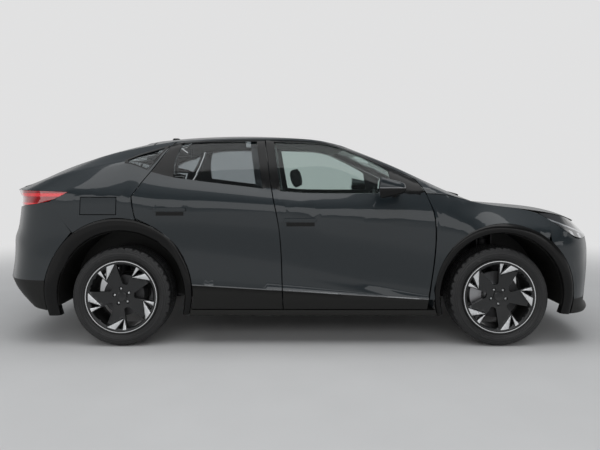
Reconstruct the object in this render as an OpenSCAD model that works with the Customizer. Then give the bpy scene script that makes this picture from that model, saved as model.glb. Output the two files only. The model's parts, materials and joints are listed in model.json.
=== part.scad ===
// Coupe sport utility vehicle with five doors and a battery drive.
// Millimetres, +X forward, +Y left, +Z up, origin on the ground halfway along the length.

/* [Body] */
// Distance between the axles
wheelbase = 2766; // [2726:2:2806]
// Nose ahead of the front axle
front_overhang = 870; // [850:1:890]
// Tail behind the rear axle
rear_overhang = 1008; // [988:1:1028]
// Width over the body sides
body_w = 1861; // [1831:1:1891]
// Roof above the ground
body_h = 1597; // [1577:1:1617]
// Window sill above the ground beside the driver
belt_h = 1120; // [1110:1:1130]
// Underside of the sills above the ground
sill_h = 219; // [209:1:229]

/* [Panels] */
// Gap round doors, bonnet and tailgate
shut_gap = 8; // [7:0.5:10]
// Gap where fixed pieces seat on each other
seat_gap = 0.3; // [0.2:0.05:0.4]
// Thickness of the fixed outer panels
panel_t = 18; // [14:1:22]
// Thickness of a whole door below the window
door_t = 110; // [100:1:116]
// Thickness of a door's window frame
frame_t = 36; // [30:1:40]
// Glass thickness
glass_t = 5; // [4:0.5:7]
// Setback of the glass behind the frame's face
glass_in = 9; // [6:1:14]
// How far the arch and sill cladding stands proud
clad_out = 9; // [6:1:12]

/* [Wheels] */
// Tyre radius
tyre_r = 362; // [356:1:368]
// Tyre width
tyre_w = 255; // [245:1:260]
// Rim radius at the bead
rim_r = 254; // [248:1:260]
// Wheel centre plane from the centre line
half_track = 785; // [780:1:790]
// Number of spokes
spoke_n = 5; // [4:1:7]
// Brake disc radius
disc_r = 172; // [160:1:178]

/* [Pins] */
// Door and lid hinge pin radius
pin_r = 6; // [5:0.5:7]
// Wheel spindle radius
spindle_r = 32; // [28:1:36]
// Kingpin radius
kingpin_r = 14; // [12:1:16]
// Running clearance in a bore
run_gap = 0.1; // [0.05:0.05:0.2]

/* [Hidden] */
$fn = 48;

// Stations along the body
body_l = front_overhang + wheelbase + rear_overhang;
nose_x = body_l / 2;
tail_x = -body_l / 2;
xf = nose_x - front_overhang;
xr = tail_x + rear_overhang;
hw = body_w / 2;
axle_z = tyre_r;
// Heights of the window sill and the roof at which the curves below are drawn
drawn_belt = 1120;
drawn_h = 1597;
bz = belt_h - drawn_belt;
half_gap = shut_gap / 2;

// Paint and trim colours
paint = [0.25, 0.28, 0.31];
black = [0.05, 0.05, 0.05];
glass = [0.45, 0.5, 0.5, 0.5];
steel = [0.45, 0.46, 0.48];
silver = [0.75, 0.76, 0.78];

// Long curves of the left side, each point [x, y, z]
sill = [[xr, hw - 50, sill_h], [xf, hw - 50, sill_h]];
trim = [[xr - 900, hw - 24, 480], [xr + 480, hw - 6, 454], [xr + 1179, hw - 6, 411], [xf - 452, hw - 8,
    342],
    [nose_x, hw - 30, 330]];
valley = [[xr - 900, hw - 34, 640], [xr + 300, hw - 28, 735], [xr + 634, hw - 36, 704], [xr + 1156,
    hw - 38, 630],
    [xf - 1230, hw - 38, 544], [xf - 790, hw - 34, 428], [xf - 480, hw - 20, 376], [nose_x, hw - 30, 376]];
shoulder = [[tail_x, hw - 110, up(1140)], [xr - 893, hw - 90, up(1143)], [xr - 386, hw - 28, up(1130)],
    [xr, hw - 4, 1103 + bz], [xr + 411, hw - 10, 1077 + bz], [xr + 1305, hw - 13, 1021 + bz],
    [xf - 478, hw - 12, 933 + bz], [xf - 179, hw - 8, 895 + bz], [xf + 100, hw - 10, 872 + bz],
    [xf + 450, hw - 40, 842 + bz], [nose_x, hw - 90, 790 + bz]];
belt = [[tail_x, hw - 200, up(1146)], [xr - 926, hw - 195, up(1156)], [xr - 746, hw - 173, up(1176)],
    [xr - 486, hw - 140, up(1240)],
    [xr - 186, hw - 125, up(1305)], [xr + 6, hw - 130, up(1346)], [xr + 230, hw - 105, up(1274)],
    [xr + 368, hw - 92, up(1235)], [xr + 995, hw - 78, up(1156)], [xr + 1305, hw - 75, up(1120)],
    [xf - 391, hw - 80, 1109 + bz], [xf - 152, hw - 125, 1047 + bz], [xf, hw - 140, 1024 + bz],
    [xf + 278, hw - 165, 992 + bz], [xf + 498, hw - 190, 955 + bz], [xf + 668, hw - 200, 905 + bz],
    [nose_x, hw - 220, 846 + bz]];
window_top = [[tail_x, hw - 230, up(1152)], [xr - 926, hw - 225, up(1164)], [xr - 746, hw - 221, up(1189)],
    [xr - 486, hw - 215, up(1281)],
    [xr - 186, hw - 200, up(1350)], [xr + 6, hw - 185, up(1380)], [xr + 308, hw - 235, up(1472)],
    [xr + 395, hw - 245, up(1498)], [xr + 964, hw - 258, up(1514)], [xr + 1305, hw - 256, up(1502)],
    [xf - 1214, hw - 245, up(1486)], [xf - 754, hw - 172, up(1274)], [xf - 562, hw - 128, up(1186)],
    [xf - 391, hw - 92, up(1123)], [xf - 152, hw - 165, 1053 + bz], [xf, hw - 170, 1029 + bz],
    [xf + 278, hw - 178, 995 + bz], [xf + 498, hw - 193, 958 + bz], [xf + 668, hw - 203, 908 + bz],
    [nose_x, hw - 222, 849 + bz]];
cant = [[tail_x, hw - 280, up(1158)], [xr - 926, hw - 268, up(1172)], [xr - 746, hw - 286, up(1203)],
    [xr - 486, hw - 318, up(1319)], [xr - 186, hw - 330, up(1418)], [xr + 6, hw - 332, up(1462)],
    [xr + 314, hw - 333, up(1518)],
    [xr + 614, hw - 330, up(1539)], [xr + 1014, hw - 326, up(1546)], [xf - 1352, hw - 322, up(1536)],
    [xf - 1214, hw - 320, up(1513)], [xf - 1122, hw - 316, up(1478)], [xf - 752, hw - 275, up(1328)],
    [xf - 452, hw - 240, up(1186)], [xf - 202, hw - 212, 1072 + bz], [xf - 152, hw - 206, 1059 + bz],
    [xf, hw - 200, 1034 + bz], [xf + 278, hw - 190, 998 + bz], [xf + 498, hw - 196, 961 + bz],
    [xf + 668, hw - 206, 911 + bz], [nose_x, hw - 225, 852 + bz]];
rails = [sill, trim, valley, shoulder, belt, window_top, cant];
// Outward swell of the side between each two of the curves
swell = [5, 2, 21, 5, 12, 6];

// Middle lines [x, z] of roof, windscreen and bonnet
roof_line = [[tail_x + 32, up(1165)], [xr - 789, up(1249)], [xr - 505, up(1373)], [xr - 221, up(1481)],
    [xr + 64, up(1550)], [xr + 414, up(1584)], [xr + 834, body_h], [xr + 1164, up(1585)],
    [xf - 1352, up(1564)], [xf - 1152, up(1526)], [xf - 1071, up(1501)]];
screen_line = [[xf - 1071, up(1501)], [xf - 929, up(1447)], [xf - 644, up(1328)], [xf - 361, up(1185)],
    [xf - 219, 1112 + bz], [xf - 77, 1045 + bz]];
bonnet_line = [[xf - 152, 1056 + bz], [xf - 6, 1036 + bz], [xf + 278, 1008 + bz], [xf + 562, 985 + bz],
    [xf + 728, 945 + bz], [xf + 808, 885 + bz], [xf + 838, 850 + bz]];
// Foremost and rearmost lines [z, x] in the middle plane
nose_line = [[sill_h - 10, nose_x - 60], [244, nose_x - 16], [262, nose_x - 14], [300, nose_x - 56],
    [345, nose_x - 50], [560, nose_x - 18], [715, nose_x], [780, nose_x - 9], [840, nose_x - 26],
    [900, nose_x - 60], [960, nose_x - 120], [1060, nose_x - 250]];
tail_line = [[sill_h - 10, tail_x + 250], [294, tail_x + 165], [340, tail_x + 80], [476, tail_x + 2],
    [540, tail_x + 14], [700, tail_x + 26], [800, tail_x + 24], [838, tail_x + 56], [1000, tail_x + 76],
    [1100, tail_x + 60], [1150, tail_x + 30], [1300, tail_x + 20]];
// Where the plan view starts to round towards the nose and the tail, and how square the rounding is
round_f = xf + 447;
round_r = xr - 536;
round_f_x = 2.4;
round_f_y = 2.6;
round_r_x = 2.6;
round_r_y = 3;

// Door edges [z, x]
a_line = [[240, xf - 532], [361, xf - 519], [704, xf - 476], [932, xf - 469], [1073 + bz, xf - 509],
    [up(1199), xf - 571], [up(1400), xf - 690]];
b_line = [[240, xr + 1186], [418, xr + 1179], [846, xr + 1158], [up(1142), xr + 1098], [up(1520), xr
    + 1038]];
c_line = [[800, xr + 100], [930, xr + 113], [1102 + bz, xr + 84], [up(1271), xr + 194], [up(1472), xr
    + 308],
    [up(1530), xr + 336]];
// Rear edge of the rear door glass [z, x], carried on down as a grid line of the door
rear_glass_line = [[240, xr + 590], [454, xr + 600], [700, xr + 510], [900, xr + 440], [up(1229), xr + 369],
    [up(1380), xr + 362], [up(1520), xr + 412]];

// Wheel arches: centre offset from the axle [x, z] and radius
arch_f_in = [15, 17, 453];
arch_f_out = [30, 29, 512];
arch_r_in = [0, 15, 469];
arch_r_out = [-18, 37, 541];

function lerp(a, b, t) = a + (b - a) * t;
// Real height of a drawn one: below the window sill it shifts, above it stretches to the roof
function up(z) = z < drawn_belt ? z + bz : lerp(belt_h, body_h, (z - drawn_belt) / (drawn_h - drawn_belt));
function last(v) = v[len(v) - 1];
// Smooth curve through points sorted by their first entry
function seg(c, x, i = 0) = i >= len(c) - 2 || x < c[i + 1][0] ? i : seg(c, x, i + 1);
function slope(c, i) = let(a = max(i - 1, 0), b = min(i + 1, len(c) - 1)) (c[b] - c[a])
    / (c[b][0] - c[a][0]);
function hermite(p, q, m, n, t) = p * (1 + 2 * t) * (1 - t) ^ 2 + m * t * (1 - t) ^ 2
    + q * t ^ 2 * (3 - 2 * t) + n * t ^ 2 * (t - 1);
function at(c, x) = x <= c[0][0] ? c[0] + slope(c, 0) * (x - c[0][0])
    : x >= last(c)[0] ? last(c) + slope(c, len(c) - 1) * (x - last(c)[0])
    : let(i = seg(c, x), h = c[i + 1][0] - c[i][0])
        hermite(c[i], c[i + 1], slope(c, i) * h, slope(c, i + 1) * h, (x - c[i][0]) / h);
function val(c, x) = at(c, x)[1];

// Height of level v at station x: whole levels are the long curves
function level(x, v) = let(k = min(floor(v), len(rails) - 2)) lerp(at(rails[k], x)[2], at(rails[k + 1],
    x)[2], v - k);
// Half width of the side at [x, z] before the ends are rounded
function flank(x, z) = let(
    p = [for (r = rails) at(r, x)],
    k = max(0, min(len(p) - 2, len([for (q = p) if (q[2] <= z) 1]) - 1)),
    t = (z - p[k][2]) / (p[k + 1][2] - p[k][2]),
    b = t > 0 && t < 1 ? swell[k] * 4 * t * (1 - t) : 0) lerp(p[k][1], p[k + 1][1], t) + b;
function squeeze(s, a, b) = s <= 0 ? 1 : s >= 1 ? 0 : (1 - s ^ a) ^ (1 / b);
function rounding(x, z) = x > round_f ? squeeze((x - round_f) / (val(nose_line, z) - round_f), round_f_x,
    round_f_y)
    : x < round_r ? squeeze((round_r - x) / (round_r - val(tail_line, z)), round_r_x, round_r_y) : 1;
// Point of the left side
function skin(x, z) = [x, flank(x, z) * rounding(x, z), z];
function rail_point(k, x) = let(p = at(rails[k], x)) [x, p[1] * rounding(x, p[2]), p[2]];
function circle_pt(axle_x, a, ang) = [axle_x + a[0] + a[2] * cos(ang), axle_z + a[1] + a[2] * sin(ang)];

// Surface through four edges that share their corners
function coons(b, t, l, r) = let(m = len(l) - 1, n = len(b) - 1) [for (i = [0 : m]) [for (j = [0 : n])
    let(v = i / m, u = j / n)
        b[j] * (1 - v) + t[j] * v + l[i] * (1 - u) + r[i] * u
        - b[0] * (1 - u) * (1 - v) - b[n] * u * (1 - v) - t[0] * (1 - u) * v - t[n] * u * v]];
function row(a, b, n) = [for (i = [0 : n]) lerp(a, b, i / n)];
function lift(g) = [for (r = g) [for (p = r) skin(p[0], p[1])]];

// Closed panel between an outer and an inner grid; keep(r, c) leaves cells out
module panel(outer, inner, keep = function (r, c) true, turn = 1e6) {
    nr = len(outer);
    nc = len(outer[0]);
    n = nr * nc;
    has = function (r, c) r >= 0 && c >= 0 && r < nr - 1 && c < nc - 1 && keep(r, c);
    cells = [for (r = [0 : nr - 2]) for (c = [0 : nc - 2]) if (has(r, c)) [r, c]];
    quad = function (a, b, c, d, f) f ? [[a, b, d], [b, c, d]] : [[a, b, c], [a, c, d]];
    faces = [for (q = cells) let(
        r = q[0], c = q[1], f = c >= turn,
        a = r * nc + c, b = a + 1, e = b + nc, d = a + nc,
        skins = concat(quad(a, b, e, d, f), [for (t = quad(a, b, e, d, f)) [t[0] + n, t[2] + n, t[1] + n]]),
        rims = concat(
            has(r - 1, c) ? [] : [[b, a, a + n], [b, a + n, b + n]],
            has(r, c + 1) ? [] : [[e, b, b + n], [e, b + n, e + n]],
            has(r + 1, c) ? [] : [[d, e, e + n], [d, e + n, d + n]],
            has(r, c - 1) ? [] : [[a, d, d + n], [a, d + n, a + n]]))
        each concat(skins, rims)];
    polyhedron([for (g = [outer, inner]) for (r = g) each r], faces);
}

// Inner grid of a side panel: moved in by t(r, c), its border drawn in by share of that
function inward(g, t, share = 0) = let(m = len(g) - 1, n = len(g[0]) - 1) [for (r = [0 : m])
    [for (c = [0 : n])
    let(d = t(r, c), s = d * share)
        g[r][c] + [c == 0 ? s : c == n ? -s : 0, -d, r == 0 ? s * 0.5 : r == m ? -s * 0.5 : 0]]];

module both() {
    children();
    mirror([0, 1, 0]) children();
}

module side(left) {
    if (left) children();
    else mirror([0, 1, 0]) children();
}

module box(a, b) {
    translate(a) cube(b - a);
}

// Doors

sill_top = sill_h + 47;
door_z0 = sill_top + shut_gap;
front_rows = [0, 0.5, 1, 1.5, 2, 2.35, 2.7, 3, 3.5, 4, 4.35, 4.7, 5, 5.42];
rear_rows = [0, 0.5, 1, 1.5, 2, 2.25, 2.45, 2.58, 2.75, 3, 3.5, 4, 4.35, 4.7, 5, 5.42];
// Columns behind, across and ahead of each window
front_cols = [1, 6, 3];
rear_cols = [3, 6, 1];
post_w = 62;
sail_w = 225;
strip_level = 5.55;

function door_level(x, v) = v < 1 ? lerp(door_z0, at(trim, x)[2], v) : level(x, v);
function door_depth(v) = v <= 3 ? door_t : v >= 4.3 ? frame_t : lerp(door_t, frame_t, (v - 3) / 1.3);
function settle(f, v, x, n = 6) = n == 0 ? x : settle(f, v, f(door_level(x, v)), n - 1);
function arch_front_x(z) = let(c = arch_r_out, r = c[2] + shut_gap, d = z - axle_z - c[1])
    abs(d) < r ? xr + c[0] + sqrt(r * r - d * d) : -1e5;
function rear_edge(z) = max(val(c_line, z) + half_gap, arch_front_x(z));
function spread(x, n) = concat(
    [for (i = [0 : n[0] - 1]) lerp(x[0], x[1], i / n[0])],
    [for (i = [0 : n[1] - 1]) lerp(x[1], x[2], i / n[1])],
    [for (i = [0 : n[2]]) lerp(x[2], x[3], i / n[2])]);
function door_row(xs, v) = [for (x = xs) skin(x, door_level(x, v))];
function front_stations(v) = let(
    a = settle(function (z) val(b_line, z) + half_gap, v, xr + 1150),
    d = settle(function (z) val(a_line, z) - half_gap, v, xf - 500)) [a, a + post_w, d - sail_w, d];
function rear_stations(v) = let(
    a = settle(function (z) rear_edge(z), v, xr + 200),
    b = settle(function (z) val(rear_glass_line, z), v, xr + 400),
    d = settle(function (z) val(b_line, z) - half_gap, v, xr + 1150)) [a, b, d - post_w, d];
front_door = [for (v = front_rows) door_row(spread(front_stations(v), front_cols), v)];
rear_door = [for (v = rear_rows) door_row(spread(rear_stations(v), rear_cols), v)];
function row_of(rows, v) = [for (i = [0 : len(rows) - 1]) if (rows[i] == v) i][0];

// Hinge pins: [x, y] of the axis and heights of the two hinges
front_hinge = [xf - 562, hw - 46];
rear_hinge = [xr + 1075, hw - 40];
hinge_z = [480, 850];
hinge_half = 34;
post_y = hw - 155;

module door_shell(grid, rows, cols, hinge) {
    lo = row_of(rows, 4);
    hi = row_of(rows, 5);
    difference() {
        panel(grid, inward(grid, function (r, c) door_depth(rows[r]), 0.4),
            function (r, c) !(r >= lo && r < hi && c >= cols[0] && c < cols[0] + cols[1]));
        for (z = hinge_z) {
            translate([hinge[0] - pin_r - 10, hw - 400, z - hinge_half - 6])
                cube([180, hinge[1] + pin_r + 3 - hw + 400, 2 * hinge_half + 12]);
            translate([hinge[0], hinge[1], z - hinge_half - 40])
                cylinder(r = pin_r + run_gap, h = 2 * hinge_half + 80);
        }
    }
}

module door_glass(grid, rows, cols) {
    lo = row_of(rows, 4);
    hi = row_of(rows, 5);
    a = cols[0];
    b = cols[0] + cols[1];
    g = [for (r = [lo : hi]) [for (c = [a : b]) grid[r][c]
        + [c == a ? seat_gap : c == b ? -seat_gap : 0, -glass_in, r == lo ? seat_gap
            : r == hi ? -seat_gap : 0]]];
    panel(g, inward(g, function (r, c) glass_t));
}

// Pull handles: [x, z] of the middle, length, height and how far they stand out
front_handle = [xr + 1308, 924 + bz];
rear_handle = [xr + 362, 1002 + bz];
handle_l = 246;
handle_h = 34;
handle_out = 13;

module handle(p) {
    hull() for (s = [-1, 1]) let(x = p[0] + s * (handle_l - handle_h) / 2)
        translate([x, skin(x, p[1])[1] - 12, p[1]]) rotate([-90, 0, 0])
            cylinder(r1 = handle_h / 2, r2 = handle_h / 2 - 5, h = 12 + handle_out, $fn = 20);
}

module front_door_shell() {
    door_shell(front_door, front_rows, front_cols, front_hinge);
    handle(front_handle);
}

module rear_door_shell() {
    door_shell(rear_door, rear_rows, rear_cols, rear_hinge);
    handle(rear_handle);
}

module door_front_left() {
    color(paint) front_door_shell();
}

module door_front_right() {
    color(paint) side(false) front_door_shell();
}

module door_rear_left() {
    color(paint) rear_door_shell();
}

module door_rear_right() {
    color(paint) side(false) rear_door_shell();
}

module glass_front_left() {
    color(glass) door_glass(front_door, front_rows, front_cols);
}

module glass_front_right() {
    color(glass) side(false) door_glass(front_door, front_rows, front_cols);
}

module glass_rear_left() {
    color(glass) door_glass(rear_door, rear_rows, rear_cols);
}

module glass_rear_right() {
    color(glass) side(false) door_glass(rear_door, rear_rows, rear_cols);
}

// Pillars, sills and cant rails

header_mid = xf - 1071;
header_side = xf - 1140;
screen_mid = xf - 77;
screen_side = xf - 164;
gate_mid = xr + 114;
gate_side = xr + 150;
roof_rows = 8;
screen_rows = 7;
strip_x0 = xr + 340;
// Rows of the roof from the tailgate to the windscreen; the second one starts beside the door frames
roof_t1 = (strip_x0 - gate_side - shut_gap - 6) / (header_side - gate_side - shut_gap - 6);
roof_ts = concat([0], [for (i = [0 : roof_rows]) lerp(roof_t1, 1, i / roof_rows)]);
strip_t = 70;
strip_fall = 0.2;
rocker_top = 350;
rocker_w = 115.5;
rocker_out = hw - 175;
rocker_in = rocker_out - rocker_w;
a_post_x0 = front_hinge[0] - 10;
a_post_x1 = xf - 342;
bulk_x = xf + arch_f_in[0] - arch_f_in[2] - 8;
cabin_y = hw - 370.5;
pillar_y = hw - door_t - 72;

strip_rows = [4.8, strip_level];
function strip_stations(v) = let(a = settle(function (z) val(a_line, z) + half_gap, v, xf - 520))
    concat(row(strip_x0, a, 12), [for (i = [1 : 3]) lerp(a, screen_side, i / 3)]);
// The upper row shares its points with the edges of roof and windscreen
cant_strip = concat(
    [[for (x = strip_stations(4)) skin(x, level(x, 4) + 4)]],
    [for (v = strip_rows) [for (x = strip_stations(v)) skin(x, level(x, v))]],
    [[for (x = concat([for (t = roof_ts) if (t > 0) roof_side_x(t)], [for (i = [screen_rows - 1 : -1 : 0])
        lerp(screen_side, header_side, i / screen_rows)])) rail_point(6, x)]]);

module cant_rail() {
    inner = [for (r = [0 : 3]) [for (c = [0 : len(cant_strip[r]) - 1]) cant_strip[r][c]
        - (r == 3 ? [0, 0, 21] : r == 2 && c < 14 ? [0, strip_t, strip_t * strip_fall] : [0,
            c > 13 ? 14 : 22, 0])]];
    panel(cant_strip, inner, function (r, c) r == 2 || c >= 12);
}

module b_pillar() {
    rows = [0.6, 1, 2, 3, 3.6, 4.3, 5, strip_level];
    g = [for (i = [0 : len(rows) - 1]) let(v = rows[i]) [for (d = [-120, -40, 30, 76])
        let(x = settle(function (z) val(b_line, z) + d, v, xr + 1100), z = i == 0 ? rocker_top
            + seat_gap : level(x, v),
            p = skin(x, z), e = door_depth(v) + (v < 4 ? 34 : 14))
            v <= 3 ? [x, pillar_y, z] : p - [0, e, i == len(rows) - 1 ? e * strip_fall + seat_gap : 0]]];
    inner = [for (i = [0 : len(rows) - 1]) [for (p = g[i]) p - [0, 46, i == len(rows)
        - 1 ? 46 * strip_fall : 0]]];
    panel(g, inner);
}

module rocker() {
    box([xr + 545, rocker_in, sill_h + 6], [bulk_x, rocker_out, rocker_top]);
    box([a_post_x0, cabin_y, rocker_top - 1], [bulk_x, post_y, 900]);
    box([bulk_x - 6, cabin_y, 700], [a_post_x1, hw - 110, level(a_post_x1, 4) - 8]);
}

module side_frames() {
    color(paint) both() {
        cant_rail();
        b_pillar();
        rocker();
    }
}

module door_hinge(at_xy, from_y) {
    for (z = hinge_z) translate([at_xy[0], 0, z]) {
        translate([-8, from_y + seat_gap, -hinge_half]) cube([16, at_xy[1] - from_y - seat_gap,
            2 * hinge_half]);
        translate([0, at_xy[1], -hinge_half - 36]) cylinder(r = pin_r, h = 2 * hinge_half + 72);
    }
}

// Roof, windscreen, bonnet and tailgate

roof_ws = [-1, -0.9, -0.7, -0.45, -0.2, 0, 0.2, 0.45, 0.7, 0.9, 1];
crown = 2.2;

// Point of a cross row: middle [x, z], side [x, y, z], w from -1 to 1 over the width
function bow(mid, edge, w) = let(k = abs(w) ^ crown) [lerp(mid[0], edge[0], k), w * edge[1], lerp(mid[1],
    edge[2], k)];
function edge_in(k, x, d) = let(p = rail_point(k, x)) [x, p[1] - d, p[2]];
function roof_mid(x) = [x, val(roof_line, x)];

function roof_side_x(t) = lerp(gate_side + shut_gap + 6, header_side, t);
roof_grid = [for (t = roof_ts) [for (w = roof_ws)
    bow(roof_mid(lerp(gate_mid + shut_gap + 6, header_mid, t)), edge_in(6, roof_side_x(t), seat_gap), w)
        - [t == 1 ? seat_gap : 0, 0, 0]]];
function sunk(g, d) = [for (r = g) [for (p = r) p + d]];
function sunk_edge(g, d, e) = let(m = len(g) - 1) [for (r = [0 : m]) [for (p = g[r])
    p + [r == 0 ? e[0] : r == m ? -e[1] : 0, 0, -d]]];

roof_inner = sunk_edge(roof_grid, panel_t, [60, 0]);

module roof_panel() {
    color(paint) panel(roof_grid, roof_inner, turn = 5);
}

function screen_pt(t, w, d) = bow(let(x = lerp(screen_mid, header_mid, t)) [x, val(screen_line, x)],
    edge_in(6, lerp(screen_side, header_side, t), d), w);
screen_ws = [for (w = roof_ws) -w];
screen_grid = [for (i = [0 : screen_rows]) [for (w = screen_ws) screen_pt(i / screen_rows, w, seat_gap)]];

module windscreen() {
    color(glass) panel(screen_grid, sunk(screen_grid, [0, 0, -glass_t - 1]), turn = 5);
}

// Bonnet: rear edge [y, x] and front edge in plan
bonnet_rear = [[0, xf - 12], [hw - 530.5, xf - 27], [hw - 330.5, xf - 67], [hw - 215.5, xf - 95],
    [hw - 130, xf - 105]];
bonnet_front_side = xf + 700;
bonnet_front_mid = xf + 834;
bonnet_t = 22;
bonnet_n = 9;
bonnet_ws = roof_ws;
bonnet_hinge = [xf - 52, 1000 + bz];
bonnet_hinge_y = hw - 250.5;
function bonnet_edge_y(x) = rail_point(4, x)[1] - shut_gap;
function bonnet_z(x, y) = let(e = rail_point(4, x), k = min(1, abs(y) / max(e[1], 1)) ^ 2.4)
    lerp(val(bonnet_line, x), e[2], k);
function bonnet_rear_x(w) = val(bonnet_rear, abs(w) * bonnet_edge_y(xf - 105));
function bonnet_front_x(w) = lerp(bonnet_front_mid, bonnet_front_side, abs(w) ^ 2.4);
function bonnet_pt(s, w) = let(x = lerp(bonnet_rear_x(w), bonnet_front_x(w), s),
    y = w * bonnet_edge_y(lerp(bonnet_rear_x(1), bonnet_front_x(1), s))) [x, y, bonnet_z(x, y)];
bonnet_grid = [for (i = [0 : bonnet_n]) let(s = 1 - (1 - i / bonnet_n) ^ 1.25)
    [for (w = bonnet_ws) bonnet_pt(s, w)]];

module bonnet() {
    n = len(bonnet_ws) - 1;
    inner = [for (r = [0 : bonnet_n]) [for (c = [0 : n]) bonnet_grid[r][c]
        + [r == 0 ? 10 : r == bonnet_n ? -26 : 0, c == 0 ? 12 : c == n ? -12 : 0, -bonnet_t]]];
    color(paint) difference() {
        union() {
            panel(bonnet_grid, inner, turn = 5);
            both() translate([bonnet_hinge[0], bonnet_hinge_y + 10, bonnet_hinge[1]]) {
                rotate([-90, 0, 0]) cylinder(r = pin_r + 6, h = 30);
                translate([-9, 0, 0]) cube([18, 30, 27]);
            }
        }
        both() translate([bonnet_hinge[0], bonnet_hinge_y, bonnet_hinge[1]])
            rotate([-90, 0, 0]) cylinder(r = pin_r + run_gap, h = 50);
    }
}

// Tailgate: upper rows run from the roof over the glass to the spoiler's lip, lower rows down to the bumper
gate_low_z = 846;
gate_ws = [1, 0.93, 0.84, 0.6, 0.3, 0, -0.3, -0.6, -0.84, -0.93, -1];
gate_upper = [[xr + 114, xr + 150, 12], [xr + 44, xr + 80, 26], [xr - 236, xr - 180, 28], [xr - 476,
    xr - 410, 28],
    [xr - 690, xr - 620, 28], [xr - 840, xr - 745, 30], [tail_x + 28, xr - 884, 22]];
gate_lower = [[up(1128), hw - 346.5], [1060 + bz, hw - 346.5], [940 + bz, hw - 348.5], [gate_low_z,
    hw - 354.5]];
gate_hole = [1, 4, 2, 8];
gate_drop = 52.83;
gate_hinge = [xr + 82, val(roof_line, xr + 82) - gate_drop];
gate_hinge_y = hw - 645.5;
function gate_edge(x, k) = let(p = rail_point(k, x)) [x, p[1] - shut_gap, p[2]];
function rear_x(y, z) = round_r + (val(tail_line, z) - round_r)
    * (1 - (abs(y) / (hw - 90)) ^ round_r_y) ^ (1 / round_r_x);
gate_outer = concat(
    [for (u = gate_upper) [for (w = gate_ws) bow([u[0], val(roof_line, u[0])], gate_edge(u[1],
        u == last(gate_upper) ? 4 : 6), w)]],
    [for (u = gate_lower) [for (w = gate_ws) [rear_x(w * u[1], u[0]), w * u[1], u[0]]]]);
gate_n = len(gate_upper);
gate_inner = [for (r = [0 : len(gate_outer) - 1]) [for (c = [0 : len(gate_ws) - 1]) gate_outer[r][c]
    + [r < gate_n - 1 ? (r == 0 ? -14 : 0) : r == gate_n - 1 ? 34 : 42, c == 0 ? -14 : c == len(gate_ws)
        - 1 ? 14 : 0,
        r < gate_n ? -gate_upper[r][2] : r == len(gate_outer) - 1 ? 10 : 0]]];

module tailgate() {
    color(paint) difference() {
        union() {
            panel(gate_outer, gate_inner, function (r, c) !(r >= gate_hole[0] && r < gate_hole[1]
                && c >= gate_hole[2] && c < gate_hole[3]), 5);
            both() translate([gate_hinge[0], gate_hinge_y, gate_hinge[1]]) {
                rotate([-90, 0, 0]) cylinder(r = pin_r + 5, h = 34);
                translate([-8, 0, 0]) cube([16, 34, 25]);
            }
        }
        both() translate([gate_hinge[0], gate_hinge_y - 10, gate_hinge[1]])
            rotate([-90, 0, 0]) cylinder(r = pin_r + run_gap, h = 54);
    }
}

module tailgate_glass() {
    g = [for (r = [gate_hole[0] : gate_hole[1]]) [for (c = [gate_hole[2] : gate_hole[3]]) gate_outer[r][c]
        + [r == gate_hole[0] ? -seat_gap : r == gate_hole[1] ? seat_gap : 0,
            c == gate_hole[2] ? -seat_gap : c == gate_hole[3] ? seat_gap : 0, -6]]];
    color(glass) panel(g, sunk(g, [0, 0, -glass_t]), turn = 3);
}

// Front wings

arch_n = 20;
arch_span = [199, -18];
wing_end = 50;
// Room for the cladding's straight segments inside the curved cut-outs
arch_gap = 3.2;
function wing_edge(z) = val(a_line, z) + half_gap;
lamp_tip = [xf + 340, 966 + bz];
lamp_corner = [xf + 398, 922 + bz];
// Point of the cladding's outer edge, on the straight segments between its stations
function arch_station(i) = lerp(arch_span[0], arch_span[1], i / arch_n);
function arch_pt(axle_x, a, ang) = let(u = (ang - arch_span[0]) / (arch_span[1] - arch_span[0]) * arch_n,
    i = floor(u))
    lerp(circle_pt(axle_x, a, arch_station(i)), circle_pt(axle_x, a, arch_station(i + 1)), u - i);
wing_grid = let(
    low = at(trim, xf - 500)[2] + 4,
    a0 = 180 + asin((axle_z + arch_f_out[1] - low) / arch_f_out[2]),
    hole = [arch_f_out[0], arch_f_out[1], arch_f_out[2] + seat_gap],
    ang = concat([a0], [for (i = [2 : 13]) arch_station(i)], [54, wing_end]),
    arc = [for (g = ang) arch_pt(xf, hole, g)],
    corner = settle(function (z) wing_edge(z), 4, xf - 510),
    top_z = level(corner, 4),
    rear = [for (z = row(low, top_z, 6)) [wing_edge(z), z]],
    top = [for (i = [1 : 5]) let(x = lerp(corner, lamp_tip[0], i / 6)) [x, level(x, 4)]],
    rim = concat(rear, top, [lamp_tip, lerp(lamp_tip, lamp_corner, 0.5), lamp_corner]))
    lift(coons(arc, rim, row(arc[0], rim[0], 4), row(last(arc), last(rim), 4)));

module front_wings() {
    color(paint) both() panel(wing_grid, inward(wing_grid, function (r, c) r == 4 && c < 12 ? 4 : panel_t));
}

// Quarter panels

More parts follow.
